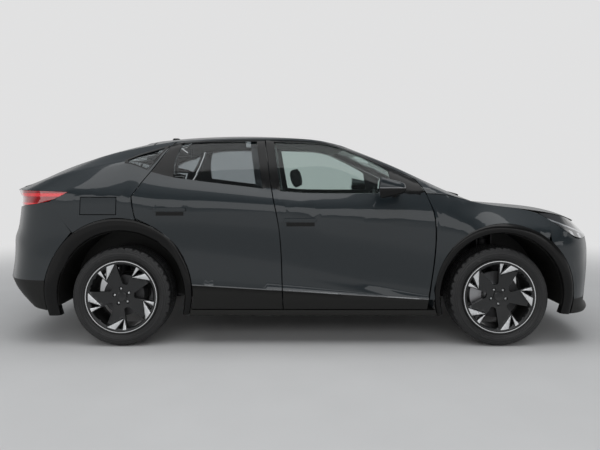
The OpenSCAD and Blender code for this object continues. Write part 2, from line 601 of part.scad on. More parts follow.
bumper_r_line = [[829, xr - 346], [881, xr - 401], [1057 + bz, xr - 524]];
tail_tip = [xr - 382, up(1127)];
tail_corner = [xr - 524, 1057 + bz];
quarter_tail = xr - 866;
function quarter_back(v) = quarter_tail + 57 * max(0, v - 4);
quarter_tip = xr + 14;
quarter_rows = [3, 3.5, 4, 4.5, 5, 5.5, 6];
quarter_low = 3;
quarter_cols = [3, 3, 1];
quarter_left = 4;
function quarter_end(v) = v > 5.5 ? strip_x0 - seat_gap
    : settle(function (z) val(c_line, z) - half_gap, v, xr + 100);
function quarter_stations(v) = let(e = quarter_end(v)) [tail_tip[0], quarter_tip, e - 30, e];
quarter_grid = let(
    hole = [arch_r_out[0], arch_r_out[1], arch_r_out[2] + arch_gap],
    arc_z = function (x) axle_z + hole[1] + sqrt(hole[2] ^ 2 - (x - xr - hole[0]) ^ 2),
    x0 = bumper_r_line[0][1],
    x1 = xr + 109,
    arc = [for (x = spread([x0, xr - 90, x1 - 22, x1], quarter_cols)) [x, arc_z(x)]],
    seam = [for (x = spread(quarter_stations(3), quarter_cols)) [x, level(x, 3)]],
    left = [arc[0], [bumper_r_line[1][1] - 12, 912], tail_corner, seam[0]],
    right = [for (z = row(last(arc)[1], last(seam)[1], 3)) [val(c_line, z) - half_gap, z]],
    low = coons(arc, seam, left, concat([last(arc)], [right[1], right[2]], [last(seam)])))
    concat(
        [for (r = [0 : quarter_low - 1]) concat([for (i = [0 : quarter_left - 1])
            skin(low[r][0][0] - 10 * (quarter_left - i), low[r][0][1])], lift([low[r]])[0])],
        [for (v = quarter_rows) [for (x = concat([for (i = [0 : quarter_left - 1])
            lerp(quarter_back(v), tail_tip[0], i / quarter_left)], spread(quarter_stations(v),
                quarter_cols)))
                skin(x, level(x, v))]]);
quarter_hole = [quarter_low + 2, quarter_low + 4, quarter_left + 3, quarter_left + 6];

module quarter_shell() {
    h = quarter_hole;
    m = len(quarter_grid) - 1;
    panel(quarter_grid, [for (r = [0 : m]) [for (p = quarter_grid[r]) p - (r == m ? [0, 0, 14] : [0,
        panel_t, 0])]],
        function (r, c)
        (r >= quarter_low || c >= quarter_left) && !(r >= h[0] && r < h[1] && c >= h[2] && c < h[3]));
}

// Charge flap in the right quarter panel: x and z limits of its opening
flap_x = [xr - 292, xr - 22];
flap_z = [962, 1094];
flap_gap = 6;
flap_t = 6;
flap_pin_r = 3;
flap_hinge = [flap_x[1] - flap_gap - 25, skin(flap_x[1] - flap_gap - 25, 1030)[1] - 16];
bowl_rim = 16;
// Flat seat of the bowl behind the panel
bowl_y = min([for (x = flap_x) for (z = flap_z) skin(x, z)[1]]) - 8;

module quarter_panels() {
    color(paint) {
        quarter_shell();
        difference() {
            mirror([0, 1, 0]) quarter_shell();
            box([flap_x[0], -hw - 50, flap_z[0]], [flap_x[1], -hw + 90, flap_z[1]]);
            box([flap_x[0] - bowl_rim - 1, -bowl_y, flap_z[0] - bowl_rim - 1],
                [flap_x[1] + bowl_rim + 1, -hw + 90, flap_z[1] + bowl_rim + 1]);
        }
    }
}

function patch(x, z, n, m, d) = [for (i = [0 : m]) [for (j = [0 : n])
    skin(lerp(x[0], x[1], j / n), lerp(z[0], z[1], i / m)) - [0, d, 0]]];

module charge_flap() {
    g = patch(flap_x + [flap_gap, -flap_gap], flap_z + [flap_gap, -flap_gap], 4, 2, 0);
    color(paint) mirror([0, 1, 0]) difference() {
        union() {
            panel(g, inward(g, function (r, c) flap_t));
            translate([flap_hinge[0], flap_hinge[1], 1000]) cylinder(r = flap_pin_r + 3, h = 56);
            translate([flap_hinge[0] - 6, flap_hinge[1], 1000]) cube([12, 12, 56]);
        }
        translate([flap_hinge[0], flap_hinge[1], 980]) cylinder(r = flap_pin_r + run_gap, h = 100);
    }
}

module charge_bowl() {
    m = bowl_rim;
    y0 = hw - 96;
    color(black) mirror([0, 1, 0]) {
        difference() {
            box([flap_x[0] - m, y0 - 12, flap_z[0] - m], [flap_x[1] + m, bowl_y - seat_gap, flap_z[1] + m]);
            box([flap_x[0], y0, flap_z[0]], [flap_x[1] + 8, hw + 20, flap_z[1]]);
        }
        for (z = [flap_z[0] + 8, flap_z[1] - 16]) box([flap_hinge[0] - 8, y0 - 1, z], [flap_hinge[0] + 1,
            flap_hinge[1] + 2, z + 8]);
        translate([flap_hinge[0], flap_hinge[1], flap_z[0] + 9]) cylinder(r = flap_pin_r,
            h = flap_z[1] - flap_z[0] - 18);
        translate([xr - 150, y0 - 1, 1028]) rotate([-90, 0, 0]) difference() {
            cylinder(r = 44, h = 40);
            translate([0, 0, 12]) cylinder(r = 36, h = 40);
        }
    }
}

module quarter_glasses() {
    h = quarter_hole;
    g = [for (r = [h[0] : h[1]]) [for (c = [h[2] : h[3]]) quarter_grid[r][c]
        + [c == h[2] ? seat_gap : c == h[3] ? -seat_gap : 0, -glass_in, r == h[0] ? seat_gap
            : r == h[1] ? -seat_gap : 0]]];
    color(glass) both() panel(g, inward(g, function (r, c) glass_t));
}

// Bumpers

// Foremost or rearmost x on the rounded ends at half width y
function front_x(y, z, x = 2200, n = 3) = n == 0 ? x : front_x(y, z, round_f + (val(nose_line, z) - round_f)
    * (1 - min(1, abs(y) / flank(x, z)) ^ round_f_y) ^ (1 / round_f_x), n - 1);
function back_x(y, z, x = -2150, n = 3) = n == 0 ? x : back_x(y, z, round_r + (val(tail_line, z) - round_r)
    * (1 - min(1, abs(y) / flank(x, z)) ^ round_r_y) ^ (1 / round_r_x), n - 1);
function flip(p) = [p[0], -p[1], p[2]];
function unit(v) = v / norm(v);
// Whole row from its left half, which ends in the middle plane
function whole(h) = concat(h, [for (i = [len(h) - 2 : -1 : 0]) flip(h[i])]);
// Moves a row's points in along the normals of its plan view
function plan_in(h, t) = let(n = len(h) - 1) [for (j = [0 : n]) let(
    d = h[min(j + 1, n)] - h[max(j - 1, 0)],
    v = j == 0 || j == n ? [0, -sign(h[j][1])] : unit([d[1], -d[0]])) h[j] + [v[0], v[1], 0] * t];

front_cut_y = hw - 450.5;
front_side_n = 7;
front_mid_n = 4;
lamp_low = [lamp_corner, [xf + 564, 793 + bz], [xf + 678, 779 + bz], [nose_x - 66, 800 + bz]];
function arch_x(axle_x, a, z, s) = axle_x + a[0] + s * sqrt((a[2] + arch_gap) ^ 2 - (z - axle_z - a[1])
    ^ 2);
function front_side_x(z) = let(c = arch_pt(xf, arch_f_out, wing_end))
    (z < c[1] ? arch_x(xf, arch_f_out, z, 1) : lerp(c[0], lamp_corner[0], (z - c[1])
        / (lamp_corner[1] - c[1]))) + seat_gap;
function front_half(z) = let(a = front_side_x(z), b = front_x(front_cut_y, z)) concat(
    [for (i = [0 : front_side_n - 1]) skin(lerp(a, b, sin(90 * i / front_side_n)), z)],
    [for (i = [0 : front_mid_n]) let(y = front_cut_y * (1 - i / front_mid_n)) [front_x(y, z), y, z]]);
bumper_z = [348, 400, 470, 560, 640, 715, 772 + bz];
// Upper edge: below the lamp, then below the bonnet's front edge
bumper_rim = let(a = lamp_corner, n = front_side_n, m = front_mid_n) concat(
    [for (i = [0 : n - 1]) let(x = lerp(a[0] + seat_gap, front_x(front_cut_y, 800 + bz), sin(90 * i / n)),
        z = val(lamp_low, x) - seat_gap - 1) skin(x, z)],
    [for (i = [0 : m]) let(y = front_cut_y * (1 - i / m), p = bonnet_pt(1,
        y / bonnet_edge_y(bonnet_front_side)))
        [p[0] + 5, y, p[2] - shut_gap - 8]]);
function mix_row(a, b, t) = [for (i = [0 : len(a) - 1]) lerp(a[i], b[i], t)];
front_rows_low = [for (z = bumper_z) front_half(z)];
front_bumper_grid = [for (h = concat(front_rows_low, [mix_row(last(front_rows_low), bumper_rim, 0.5),
    bumper_rim])) whole(h)];
front_hole = [1, 3, front_side_n, front_side_n + 2 * front_mid_n];

module front_bumper() {
    h = front_hole;
    color(paint) panel(front_bumper_grid, [for (r = front_bumper_grid) plan_in(r, panel_t)], function (r, c)
        !(r >= h[0] && r < h[1] && c >= h[2] && c < h[3]), front_side_n + front_mid_n);
}

lip_z = [236, 250, 266, 300, 348 - seat_gap];

module front_grille() {
    lip = [for (z = lip_z) whole(front_half(z))];
    h = front_hole;
    back = [for (r = [h[0] : h[1]]) plan_in([for (c = [h[2] : h[3]]) front_bumper_grid[r][c]], 6)];
    shrunk = [for (r = [0 : len(back) - 1]) [for (p = back[r])
        [p[0], p[1] * (1 - 0.5 / front_cut_y), p[2] + (r == 0 ? seat_gap : r == len(back)
            - 1 ? -seat_gap : 0)]]];
    color(black) {
        panel(lip, [for (r = lip) plan_in(r, panel_t + 6)], function (r, c) true, front_side_n
            + front_mid_n);
        panel(shrunk, sunk(shrunk, [-10, 0, 0]), function (r, c) true, front_mid_n);
    }
}

rear_cut_y = hw - 334.5;
rear_side_n = 6;
rear_mid_n = 4;
function tail_low_z(x) = lerp(tail_corner[1], 1009 + bz, (tail_corner[0] - x) / 336) - seat_gap - 0.5;
function rear_side_x(z) = (z < bumper_r_line[0][0] ? arch_x(xr, arch_r_out, z, -1) : val(bumper_r_line,
    z)) - seat_gap;
function rear_half(z) = let(a = rear_side_x(z), b = back_x(rear_cut_y, z)) concat(
    [for (i = [0 : rear_side_n - 1]) skin(lerp(a, b, sin(90 * i / rear_side_n)), z)],
    [for (i = [0 : rear_mid_n]) let(y = rear_cut_y * (1 - i / rear_mid_n)) [back_x(y, z), y, z]]);
// The rows above the tailgate's lower edge only reach round the corner to the lamp
rear_top = let(a = tail_corner[0] - seat_gap, b = back_x(rear_cut_y, 1020)) [for (i = [0 : rear_side_n
    + rear_mid_n])
    let(x = lerp(a, b, sin(90 * min(1, i / rear_side_n)))) skin(x, tail_low_z(x)) - [0, max(0,
        i - rear_side_n) * 20, 0]];
gate_sill = gate_low_z - shut_gap;
rear_z = [484, 560, 640, 720, 790, gate_sill];
rear_rows_low = [for (z = rear_z) rear_half(z)];
rear_bumper_grid = [for (h = concat(rear_rows_low, [mix_row(last(rear_rows_low), rear_top, 0.5),
    rear_top])) whole(h)];

// Rows of the rear run from right to left
function turned(g) = [for (r = g) [for (i = [len(r) - 1 : -1 : 0]) r[i]]];

module rear_bumper() {
    g = turned(rear_bumper_grid);
    n = len(g[0]) - 1;
    color(paint) panel(g, [for (r = g) plan_in(r, panel_t)], function (r, c)
        r < len(rear_z) - 1 || c < rear_side_n || c >= n - rear_side_n, rear_side_n + rear_mid_n);
}

function diffuser_z(x, t) = lerp(lerp(252, 300, min(1, max(0, (xr - 471 - x) / 330))), 484 - seat_gap, t);
module rear_diffuser() {
    g = turned([for (t = [0, 0.3, 0.65, 1]) whole([for (p = rear_half(lerp(262, 484 - seat_gap, t)))
        [p[0], p[1], diffuser_z(p[0], t)]])]);
    color(black) panel(g, [for (r = g) plan_in(r, panel_t + 4)], function (r, c) true, rear_side_n
        + rear_mid_n);
}

// Lamps

module headlamps() {
    n = front_side_n - 1;
    w1 = front_cut_y / bonnet_edge_y(bonnet_front_side);
    side_x = bonnet_pt(1, 1)[0];
    top = concat([skin(lamp_tip[0], lamp_tip[1]) + [0.4, 0, seat_gap]],
        [for (i = [1 : 3]) let(x = lerp(lamp_tip[0], side_x, i / 4)) skin(x, level(x, 4) - 5)],
        [for (w = [1, lerp(1, w1, 0.5), w1]) bonnet_pt(1, w) + [w == 1 ? 0 : 5, w == w1 ? 14 : 0,
            -shut_gap - 8]]);
    low = concat([skin(lamp_corner[0], lamp_corner[1]) + [0.4, 0, seat_gap]],
        [for (i = [1 : n]) lerp(bumper_rim[i - 1], bumper_rim[i], i < n ? 1 : 0.85) + [0, 0, 4]]);
    g = coons(low, top, [for (i = [0 : 2]) lerp(low[0], top[0], i / 2)], [for (i = [0 : 2])
        lerp(last(low), last(top), i / 2)]);
    inner = [for (r = [0 : 2]) [for (j = [0 : n]) let(d = r == 2 ? 14 : 46, a = 90 * j / n)
        g[r][j] + (j == 0 ? [0, -24, 0] : [-sin(a) * d, -cos(a) * d, r == 2 ? -40 : r == 1 ? -10 : 12])]];
    color([0.8, 0.85, 0.9]) both() panel(g, inner);
}

module tail_lamps() {
    n = quarter_left;
    ends = [for (z = [1030, 1130]) back_x(rear_cut_y + 3 * shut_gap, z)];
    top = [for (i = [0 : n]) let(x = i == 0 ? ends[1] : lerp(quarter_tail, tail_tip[0], i / n))
        [x - (i == n ? 6 : 0), level(x, 3) - 2]];
    low = [for (i = [0 : n]) let(x = lerp(ends[0], tail_corner[0] - seat_gap, i / n)) [x, tail_low_z(x)
        + 2]];
    g = lift(coons(low, top, row(low[0], top[0], 2), row(last(low), last(top), 2)));
    inner = [for (r = [0 : 2]) [for (j = [0 : n]) let(a = 90 * j / n)
        g[r][j] + [cos(a), -sin(a), r == 0 ? 0.2 : r == 2 && j < n ? -0.2 : 0] * 26]];
    color([0.45, 0.03, 0.03]) both() panel(g, inner);
}

// Black cladding and wheel liners

module arch_ring(axle_x, a, b) {
    g = [for (t = [0, 0.25, 0.8, 1]) [for (i = [0 : arch_n]) let(
        w = arch_station(i),
        p = lerp(circle_pt(axle_x, a, w), circle_pt(axle_x, b, w), t),
        q = skin(p[0], max(p[1], sill_h + 12))) q + [0, t == 0 ? -8 : t == 1 ? 1 : clad_out, p[1] - q[2]]]];
    panel(g, [for (r = [0 : 3]) [for (p = g[r]) p - [0, r == 0 ? 44 : r == 3 ? 22 : 40, 0]]]);
}

module arch_cladding() {
    color(black) both() {
        arch_ring(xf, arch_f_in, arch_f_out);
        arch_ring(xr, arch_r_in, arch_r_out);
    }
}

module sill_cladding() {
    g = [for (z = [sill_h, sill_h + 14, sill_top]) let(
        a = arch_x(xr, arch_r_out, z, 1) + seat_gap,
        b = arch_x(xf, arch_f_out, z, -1) - seat_gap) [for (x = row(a, b, 8)) skin(x, z) + [0,
            z > sill_h ? 2 : -12, 0]]];
    color(black) both() panel(g, [for (r = g) [for (p = r) [p[0], rocker_out + seat_gap, p[2]]]]);
}

rail_out = half_track - 329;
liner_t = 4;
// Strut tower: half length, outer side and top
tower_x = 60;
tower_y = half_track - 205;
tower_z = 820;
boot_y = half_track - 225;

module liner(axle_x, a, y) {
    translate([axle_x + a[0], 0, axle_z + a[1]]) rotate([90, 0, 0]) rotate([0, 0, -10]) {
        translate([0, 0, -hw + 44]) rotate_extrude(angle = 200) translate([a[2] - 2.6 - liner_t, 0])
            square([liner_t, hw - 44 - y]);
        translate([0, 0, -y - 4]) rotate_extrude(angle = 200) translate([a[2] - 160, 0]) square([157.4, 4]);
    }
}

module wheel_liners() {
    color(black) both() {
        difference() {
            liner(xf, arch_f_in, rail_out + seat_gap);
            box([xf - tower_x - 1, 0, 590], [xf + tower_x + 1, tower_y + 1, tower_z + 1]);
        }
        liner(xr, arch_r_in, boot_y + seat_gap);
    }
}

// Floor, battery, bulkhead and front frame

floor_z = [296, 320];
boot_z = [545, 560];
kick_x = xr + 354;
kick_t = 14;
battery_y = rocker_in - 40;
dash_x = bulk_x - 24;
cowl_z = [940 + bz, 960 + bz];
cowl_x = bonnet_rear[0][1] - 10;

module floor_pan() {
    y1 = rocker_in - seat_gap;
    x1 = xr + arch_r_in[2] + 12;
    color(steel) {
        translate([0, 0, floor_z[0]]) linear_extrude(floor_z[1] - floor_z[0])
            polygon([[kick_x - kick_t, -boot_y], [x1, -boot_y], [x1, -y1], [bulk_x, -y1], [bulk_x, y1],
                [x1, y1],
                [x1, boot_y], [kick_x - kick_t, boot_y]]);
        box([kick_x - kick_t, -boot_y, floor_z[0]], [kick_x, boot_y, boot_z[1]]);
        box([tail_x + 130, -boot_y, boot_z[0]], [kick_x, boot_y, boot_z[1]]);
        box([tail_x + 130, -boot_y, boot_z[0]], [tail_x + 144, boot_y, gate_sill - 20]);
    }
}

module battery_pack() {
    color(steel) difference() {
        box([xr + 480, -battery_y, 172], [a_post_x0 - 20, battery_y, floor_z[0] - seat_gap]);
        for (x = [xr + 800 : 320 : a_post_x0 - 160]) box([x, -battery_y - 10, 160], [x + 24, battery_y
            + 10, 178]);
    }
}

module bulkhead() {
    y = cabin_y - seat_gap;
    color(steel) {
        box([dash_x, -y, floor_z[1] + seat_gap], [bulk_x, y, cowl_z[1]]);
        box([dash_x, -y, cowl_z[0]], [a_post_x1 + 10, y, cowl_z[1]]);
        box([a_post_x1 + seat_gap, -bonnet_hinge_y - 65, cowl_z[0]], [cowl_x, bonnet_hinge_y + 65,
            cowl_z[1]]);
        cowl_wall();
        both() translate([bonnet_hinge[0], 0, 0]) {
            box([-8, bonnet_hinge_y + 44, cowl_z[1] - 4], [12, bonnet_hinge_y + 56, bonnet_hinge[1] + 3]);
            translate([0, bonnet_hinge_y, bonnet_hinge[1]]) rotate([-90, 0, 0]) cylinder(r = pin_r, h = 50);
        }
    }
}

module cowl_wall() {
    ws = [0.93, 0.7, 0.45, 0.2, 0, -0.2, -0.45, -0.7, -0.93];
    tops = [for (w = ws) screen_pt(0.03, w, seat_gap) - [0, 0, glass_t + 1.8 + seat_gap]];
    g = [[for (p = tops) [p[0], p[1], cowl_z[1] - 5]], tops];
    panel(g, sunk(g, [-12, 0, 0]));
}

frame_rail = [rail_out - 71, rail_out];
module front_frame() {
    color(steel) {
        both() {
            box([bulk_x + seat_gap, frame_rail[0], 480], [xf + 660, frame_rail[1], 600]);
            difference() {
                box([xf - tower_x, frame_rail[0], 596], [xf + tower_x, tower_y, tower_z]);
                box([xf - tower_x + 8, frame_rail[1], 590], [xf + tower_x - 8, tower_y + 10, tower_z - 8]);
            }
        }
        box([xf + 660, -rail_out - 104, 500], [xf + 710, rail_out + 104, 620]);
        box([xf + 560, -frame_rail[0] - 2, 520], [xf + 600, frame_rail[0] + 2, 580]);
    }
}

// Front suspension: wishbones that hold the kingpins, and coil struts

kingpin_y = half_track - 50;
arm_z = [[axle_z - 134, axle_z - 104], [axle_z + 101, axle_z + 131]];
eye_r = kingpin_r + 18;
strut_y = half_track - 267;

module wishbone(z, y0) {
    difference() {
        translate([0, 0, z[0]]) linear_extrude(z[1] - z[0]) {
            polygon([[xf - 110, y0], [xf - 60, y0], [xf - 6, kingpin_y - 70], [xf + 6, kingpin_y - 70],
                [xf + 60, y0],
                [xf + 110, y0], [xf + 26, kingpin_y], [xf - 26, kingpin_y]]);
            translate([xf, kingpin_y]) circle(eye_r);
        }
        translate([xf, kingpin_y, z[0] - 10]) cylinder(r = kingpin_r + run_gap, h = 60);
    }
}

module front_arms() {
    leg = frame_rail[0] - seat_gap;
    color(steel) {
        box([xf - 120, -leg, 215], [xf + 120, leg, 255]);
        both() {
            box([xf - 115, leg - 60, 215], [xf + 115, leg, 600]);
            wishbone(arm_z[0], leg - 10);
            wishbone(arm_z[1], frame_rail[1] + seat_gap);
            box([xf - 50, strut_y - 34, arm_z[0][0]], [xf + 50, strut_y + 34, arm_z[0][1]]);
            translate([xf, strut_y, arm_z[0][1] - 2]) cylinder(r = 16,
                h = tower_z - 8 - seat_gap - arm_z[0][1] + 2);
            for (i = [0 : 6]) translate([xf, strut_y, 540 + 34 * i]) rotate_extrude() translate([38, 0])
                circle(7, $fn = 16);
            translate([xf, strut_y, 520]) cylinder(r = 46, h = 14);
            translate([xf, strut_y, 530]) cylinder(r = 36, h = 218);
        }
    }
}

// Steered knuckle with its kingpin, spindle and brake caliper

disc_y = half_track + 2;
disc_t = 24;
hub_y = [half_track + 45, half_track + 90];

module knuckle() {
    color(steel) translate([xf, 0, axle_z]) {
        translate([0, kingpin_y, arm_z[0][0] - axle_z - 8]) cylinder(r = kingpin_r,
            h = arm_z[1][1] - arm_z[0][0] + 16);
        box([-46, kingpin_y - 20, -84], [46, kingpin_y + 30, 84]);
        translate([0, kingpin_y + 20, 0]) rotate([-90, 0, 0]) cylinder(r = spindle_r,
            h = hub_y[1] - kingpin_y - 20 - 6);
    }
    color(silver) translate([xf, 0, axle_z]) {
        r = disc_r + 6;
        box([-130, kingpin_y + 12, -40], [-40, disc_y - 6, 40]);
        intersection() {
            rotate([-90, 0, 0]) translate([0, 0, disc_y - 22]) difference() {
                cylinder(r = r + 20, h = disc_t + 42);
                translate([0, 0, -1]) cylinder(r = 112, h = disc_t + 60);
                translate([0, 0, 16]) cylinder(r = r, h = disc_t + 12);
            }
            box([-230, disc_y - 30, -66], [-100, disc_y + 60, 66]);
        }
    }
}

module knuckle_left() {
    knuckle();
}

module knuckle_right() {
    side(false) knuckle();
}

// Rear axle

drum_r = 150;
axle_y = half_track - 355;
axle_end = half_track - 125;
module rear_axle() {
    color(steel) {
        box([xr - 170, -axle_y, 330], [xr + 170, axle_y, 400]);
        both() {
            for (x = [xr - 160, xr + 110]) box([x, axle_y - 60, 330], [x + 50, axle_y,
                boot_z[0] - seat_gap]);
            box([xr - 40, axle_y - 50, 335], [xr + 40, axle_end + 30, 400]);
            translate([xr, axle_end, axle_z]) rotate([-90, 0, 0]) {
                cylinder(r = drum_r + 4, h = 40);
                cylinder(r = spindle_r, h = hub_y[1] - axle_end - 6);
            }
            translate([xr - 120, axle_y + 40, 370]) cylinder(r = 46, h = boot_z[0] - seat_gap - 370);
            box([xr - 170, axle_y - 30, 345], [xr - 70, axle_y + 90, 385]);
        }
    }
}

module rear_motor() {
    color(silver) {
        translate([xr + 20, -210, 255]) rotate([-90, 0, 0]) cylinder(r = 74, h = 300);
        box([xr - 150, 60, 200], [xr + 90, 190, 330 - seat_gap]);
    }
}

// Wheels, made round +Z as the outward axle, then laid over

bead_w = 216;
flange_r = rim_r + 17;
module tyre() {
    h = tyre_w / 2;
    b = bead_w / 2 - seat_gap;
    r0 = rim_r + seat_gap;
    color(black) rotate_extrude($fn = 96) difference() {
        polygon([[r0, -b], [flange_r + 4, -b], [flange_r + 20, -h + 6], [rim_r + 52, -h], [tyre_r - 32,
            -h + 8],
            [tyre_r - 9, -h + 20], [tyre_r - 2, -h + 40], [tyre_r, -h + 60], [tyre_r, h - 60],
                [tyre_r - 2, h - 40],
            [tyre_r - 9, h - 20], [tyre_r - 32, h - 8], [rim_r + 52, h], [flange_r + 20, h - 6],
                [flange_r + 4, b], [r0, b]]);
        for (y = [-52, -18, 18, 52]) translate([tyre_r - 7, y - 5]) square([12, 10]);
        polygon([[r0 - 1, -b + 34], [rim_r + 40, -h + 30], [tyre_r - 26, -h + 34], [tyre_r - 26, h - 34],
            [rim_r + 40, h - 30], [r0 - 1, b - 34]]);
    }
}

// Spokes: broad blades on a shallow dish, each forked by a slanted notch, with raised faces on the two tips
dish_in = [44, bead_w / 2 - 18];
dish_out = [rim_r - 8, bead_w / 2 + 1];
dish_t = 26;
tip_rise = 2.5;
blade_turn = 360 / spoke_n;
blade_w = blade_turn - 38;
notch_r = 170;
function polar(r, a) = [r * cos(a), -r * sin(a)];
module dish(lift, t) {
    rotate_extrude($fn = 96) polygon([dish_in + [0, lift - t], dish_out + [0, lift - t], dish_out + [0,
        lift],
        dish_in + [0, lift]]);
}

module window() {
    r = rim_r + 40;
    polygon([polar(r, -blade_w), polar(r, -blade_w - 19), polar(r, -blade_turn + 0.5), polar(96,
        -blade_turn + 2),
        polar(88, -blade_turn + 8), polar(92, -blade_w - 14)]);
}

module notch() {
    polygon([polar(notch_r, -3), polar(rim_r + 40, -8), polar(rim_r + 40, -21)]);
}

module tips() {
    polygon([polar(notch_r - 2, -1), polar(rim_r - 9, 0), polar(rim_r - 9, -6.4), polar(notch_r + 12,
        -2.6)]);
    polygon([polar(notch_r - 8, -2.4), polar(rim_r - 9, -19.2), polar(rim_r - 9, -blade_w),
        polar(rim_r - 40, -27)]);
}

module round_copies(phase) {
    for (i = [0 : spoke_n - 1]) rotate([0, 0, -phase - i * blade_turn]) children();
}

module spokes(phase) {
    difference() {
        dish(0, dish_t);
        round_copies(phase) translate([0, 0, -20]) linear_extrude(200) {
            window();
            notch();
        }
    }
    intersection() {
        dish(tip_rise, dish_t / 2);
        round_copies(phase) linear_extrude(200) tips();
    }
}

module rim(phase) {
    h = bead_w / 2;
    color([0.3, 0.31, 0.33]) difference() {
        union() {
            rotate_extrude($fn = 96) polygon([[rim_r - 14, -h - 8], [flange_r, -h - 8], [flange_r, -h],
                [rim_r, -h],
                [rim_r, -h + 40], [rim_r - 16, -h + 56], [rim_r - 16, h - 56], [rim_r, h - 40], [rim_r,
                    h], [flange_r, h],
                [flange_r, h + 8], [rim_r - 6, h + 8], [rim_r - 22, h - 6], [rim_r - 26, h - 50],
                    [rim_r - 26, -h + 60]]);
            spokes(phase);
            translate([0, 0, hub_y[0] - half_track]) cylinder(r = 78, h = hub_y[1] - hub_y[0]);
        }
        translate([0, 0, hub_y[0] - half_track - 10]) cylinder(r = spindle_r + run_gap,
            h = hub_y[1] - hub_y[0] + 4);
        for (i = [0 : 4]) rotate([0, 0, 36 - phase + 72 * i]) translate([56, 0, hub_y[1] - half_track - 14])
            difference() {
                cylinder(r = 12, h = 30);
                cylinder(r = 8, h = 11);
            }
    }
}

module brake_disc() {
    color(silver) difference() {
        union() {
            translate([0, 0, disc_y - half_track]) cylinder(r = disc_r, h = disc_t);
            translate([0, 0, disc_y - half_track]) cylinder(r = 80, h = hub_y[0] - disc_y - seat_gap);
        }
        translate([0, 0, -90]) cylinder(r = spindle_r + run_gap, h = 200);
        translate([0, 0, disc_y - half_track - 5]) cylinder(r = 68, h = disc_t + 8);
    }
}

module brake_drum() {
    color(steel) difference() {
        translate([0, 0, -74]) cylinder(r = drum_r, h = hub_y[0] - half_track + 74 - seat_gap);
        translate([0, 0, -90]) cylinder(r = spindle_r + run_gap, h = 200);
        translate([0, 0, -80]) cylinder(r = drum_r - 14, h = 106);
    }
}

module at_wheel(axle_x) {
    translate([axle_x, half_track, axle_z]) rotate([-90, 0, 0]) children();
}

front_phase = 17;
rear_phase = -9;

module tyre_front_left() {
    at_wheel(xf) tyre();
}

module tyre_front_right() {
    side(false) at_wheel(xf) tyre();
}

module tyre_rear_left() {
    at_wheel(xr) tyre();
}

module tyre_rear_right() {
    side(false) at_wheel(xr) tyre();
}

module front_wheel() {
    at_wheel(xf) {
        rim(front_phase);
        brake_disc();
    }
}

module rear_wheel() {
    at_wheel(xr) {
        rim(rear_phase);
        brake_drum();
    }
}

module rim_front_left() {
    front_wheel();
}

module rim_front_right() {
    side(false) front_wheel();
}

module rim_rear_left() {
    rear_wheel();
}

module rim_rear_right() {
    side(false) rear_wheel();
}

// Seats, dashboard and steering wheel

seat_y = hw - 560.5;
tunnel_y = 120;
seat_w = 2 * (seat_y - tunnel_y);
// Stretch of the seats with the height of the cabin
seat_k = (up(1300) - floor_z[1]) / (1300 - floor_z[1]);
seat_x = xf - 1160;
module seat(w) {
    z0 = floor_z[1] + seat_gap;
    rotate([90, 0, 0]) {
        translate([0, 0, -w / 2]) linear_extrude(w) polygon([[-190, z0 + 180 * seat_k], [-90, z0
            + 120 * seat_k], [300, z0 + 170 * seat_k],
            [330, z0 + 220 * seat_k], [300, z0 + 258 * seat_k], [-60, z0 + 230 * seat_k], [-250, z0
                + 760 * seat_k], [-290, z0 + 800 * seat_k], [-350, z0 + 790 * seat_k],
            [-340, z0 + 740 * seat_k]]);
        translate([0, 0, -w / 2 + 60]) linear_extrude(w - 120) polygon([[-160, z0], [240, z0], [220, z0
            + 164 * seat_k], [-120, z0 + 150 * seat_k]]);
    }
    translate([-352, -0.24 * w, z0 + 830 * seat_k]) rotate([0, -14, 0]) cube([80, 0.48 * w, 150 * seat_k]);
    for (y = [-0.12 * w, 0.12 * w]) translate([-312, y, z0 + 770 * seat_k]) rotate([0, -14, 0])
        cylinder(r = 7, h = 90 * seat_k);
}

module front_seats() {
    color(black) for (y = [-seat_y, seat_y]) translate([seat_x, y, 0]) seat(seat_w);
}

bench_x = kick_x + seat_gap;
module rear_bench() {
    w = 2 * boot_y - 16;
    z0 = floor_z[1] + seat_gap;
    color(black) {
        translate([bench_x, w / 2, 0]) rotate([90, 0, 0]) linear_extrude(w) polygon([[0, z0], [420, z0],
            [470, z0 + 150 * seat_k],
            [480, z0 + 200 * seat_k], [450, z0 + 236 * seat_k], [130, z0 + 200 * seat_k], [-60, z0
                + 640 * seat_k], [-110, z0 + 660 * seat_k], [-150, z0 + 630 * seat_k],
            [-60, z0 + 262 * seat_k], [0, z0 + 250 * seat_k]]);
        for (y = [160 - boot_y, 0, boot_y - 160]) {
            translate([bench_x - 146, y - 110, z0 + 690 * seat_k]) rotate([0, -16, 0]) cube([70, 220,
                110 * seat_k]);
            for (d = [-50, 50]) translate([bench_x - 108, y + d, z0 + 630 * seat_k]) rotate([0, -16, 0])
                cylinder(r = 6, h = 80 * seat_k);
        }
    }
}

steer_at = [xf - 800, seat_y, 960];
steer_tilt = 66;
module dashboard() {
    w = 2 * (cabin_y - 8);
    color(black) {
        translate([dash_x - seat_gap, w / 2, 0]) rotate([90, 0, 0]) linear_extrude(w) polygon([[0, 560],
            [0, 1060],
            [-60, 1090], [-180, 1060], [-250, 1000], [-240, 900], [-180, 840], [-120, 600]]);
        translate([dash_x - 300, -110, 560]) cube([200, 220, 280]);
        translate(steer_at) rotate([0, -steer_tilt, 0]) {
            translate([0, 0, -320]) cylinder(r = 30, h = 290);
            translate([0, 0, -40]) cylinder(r = 12, h = 40);
        }
    }
}

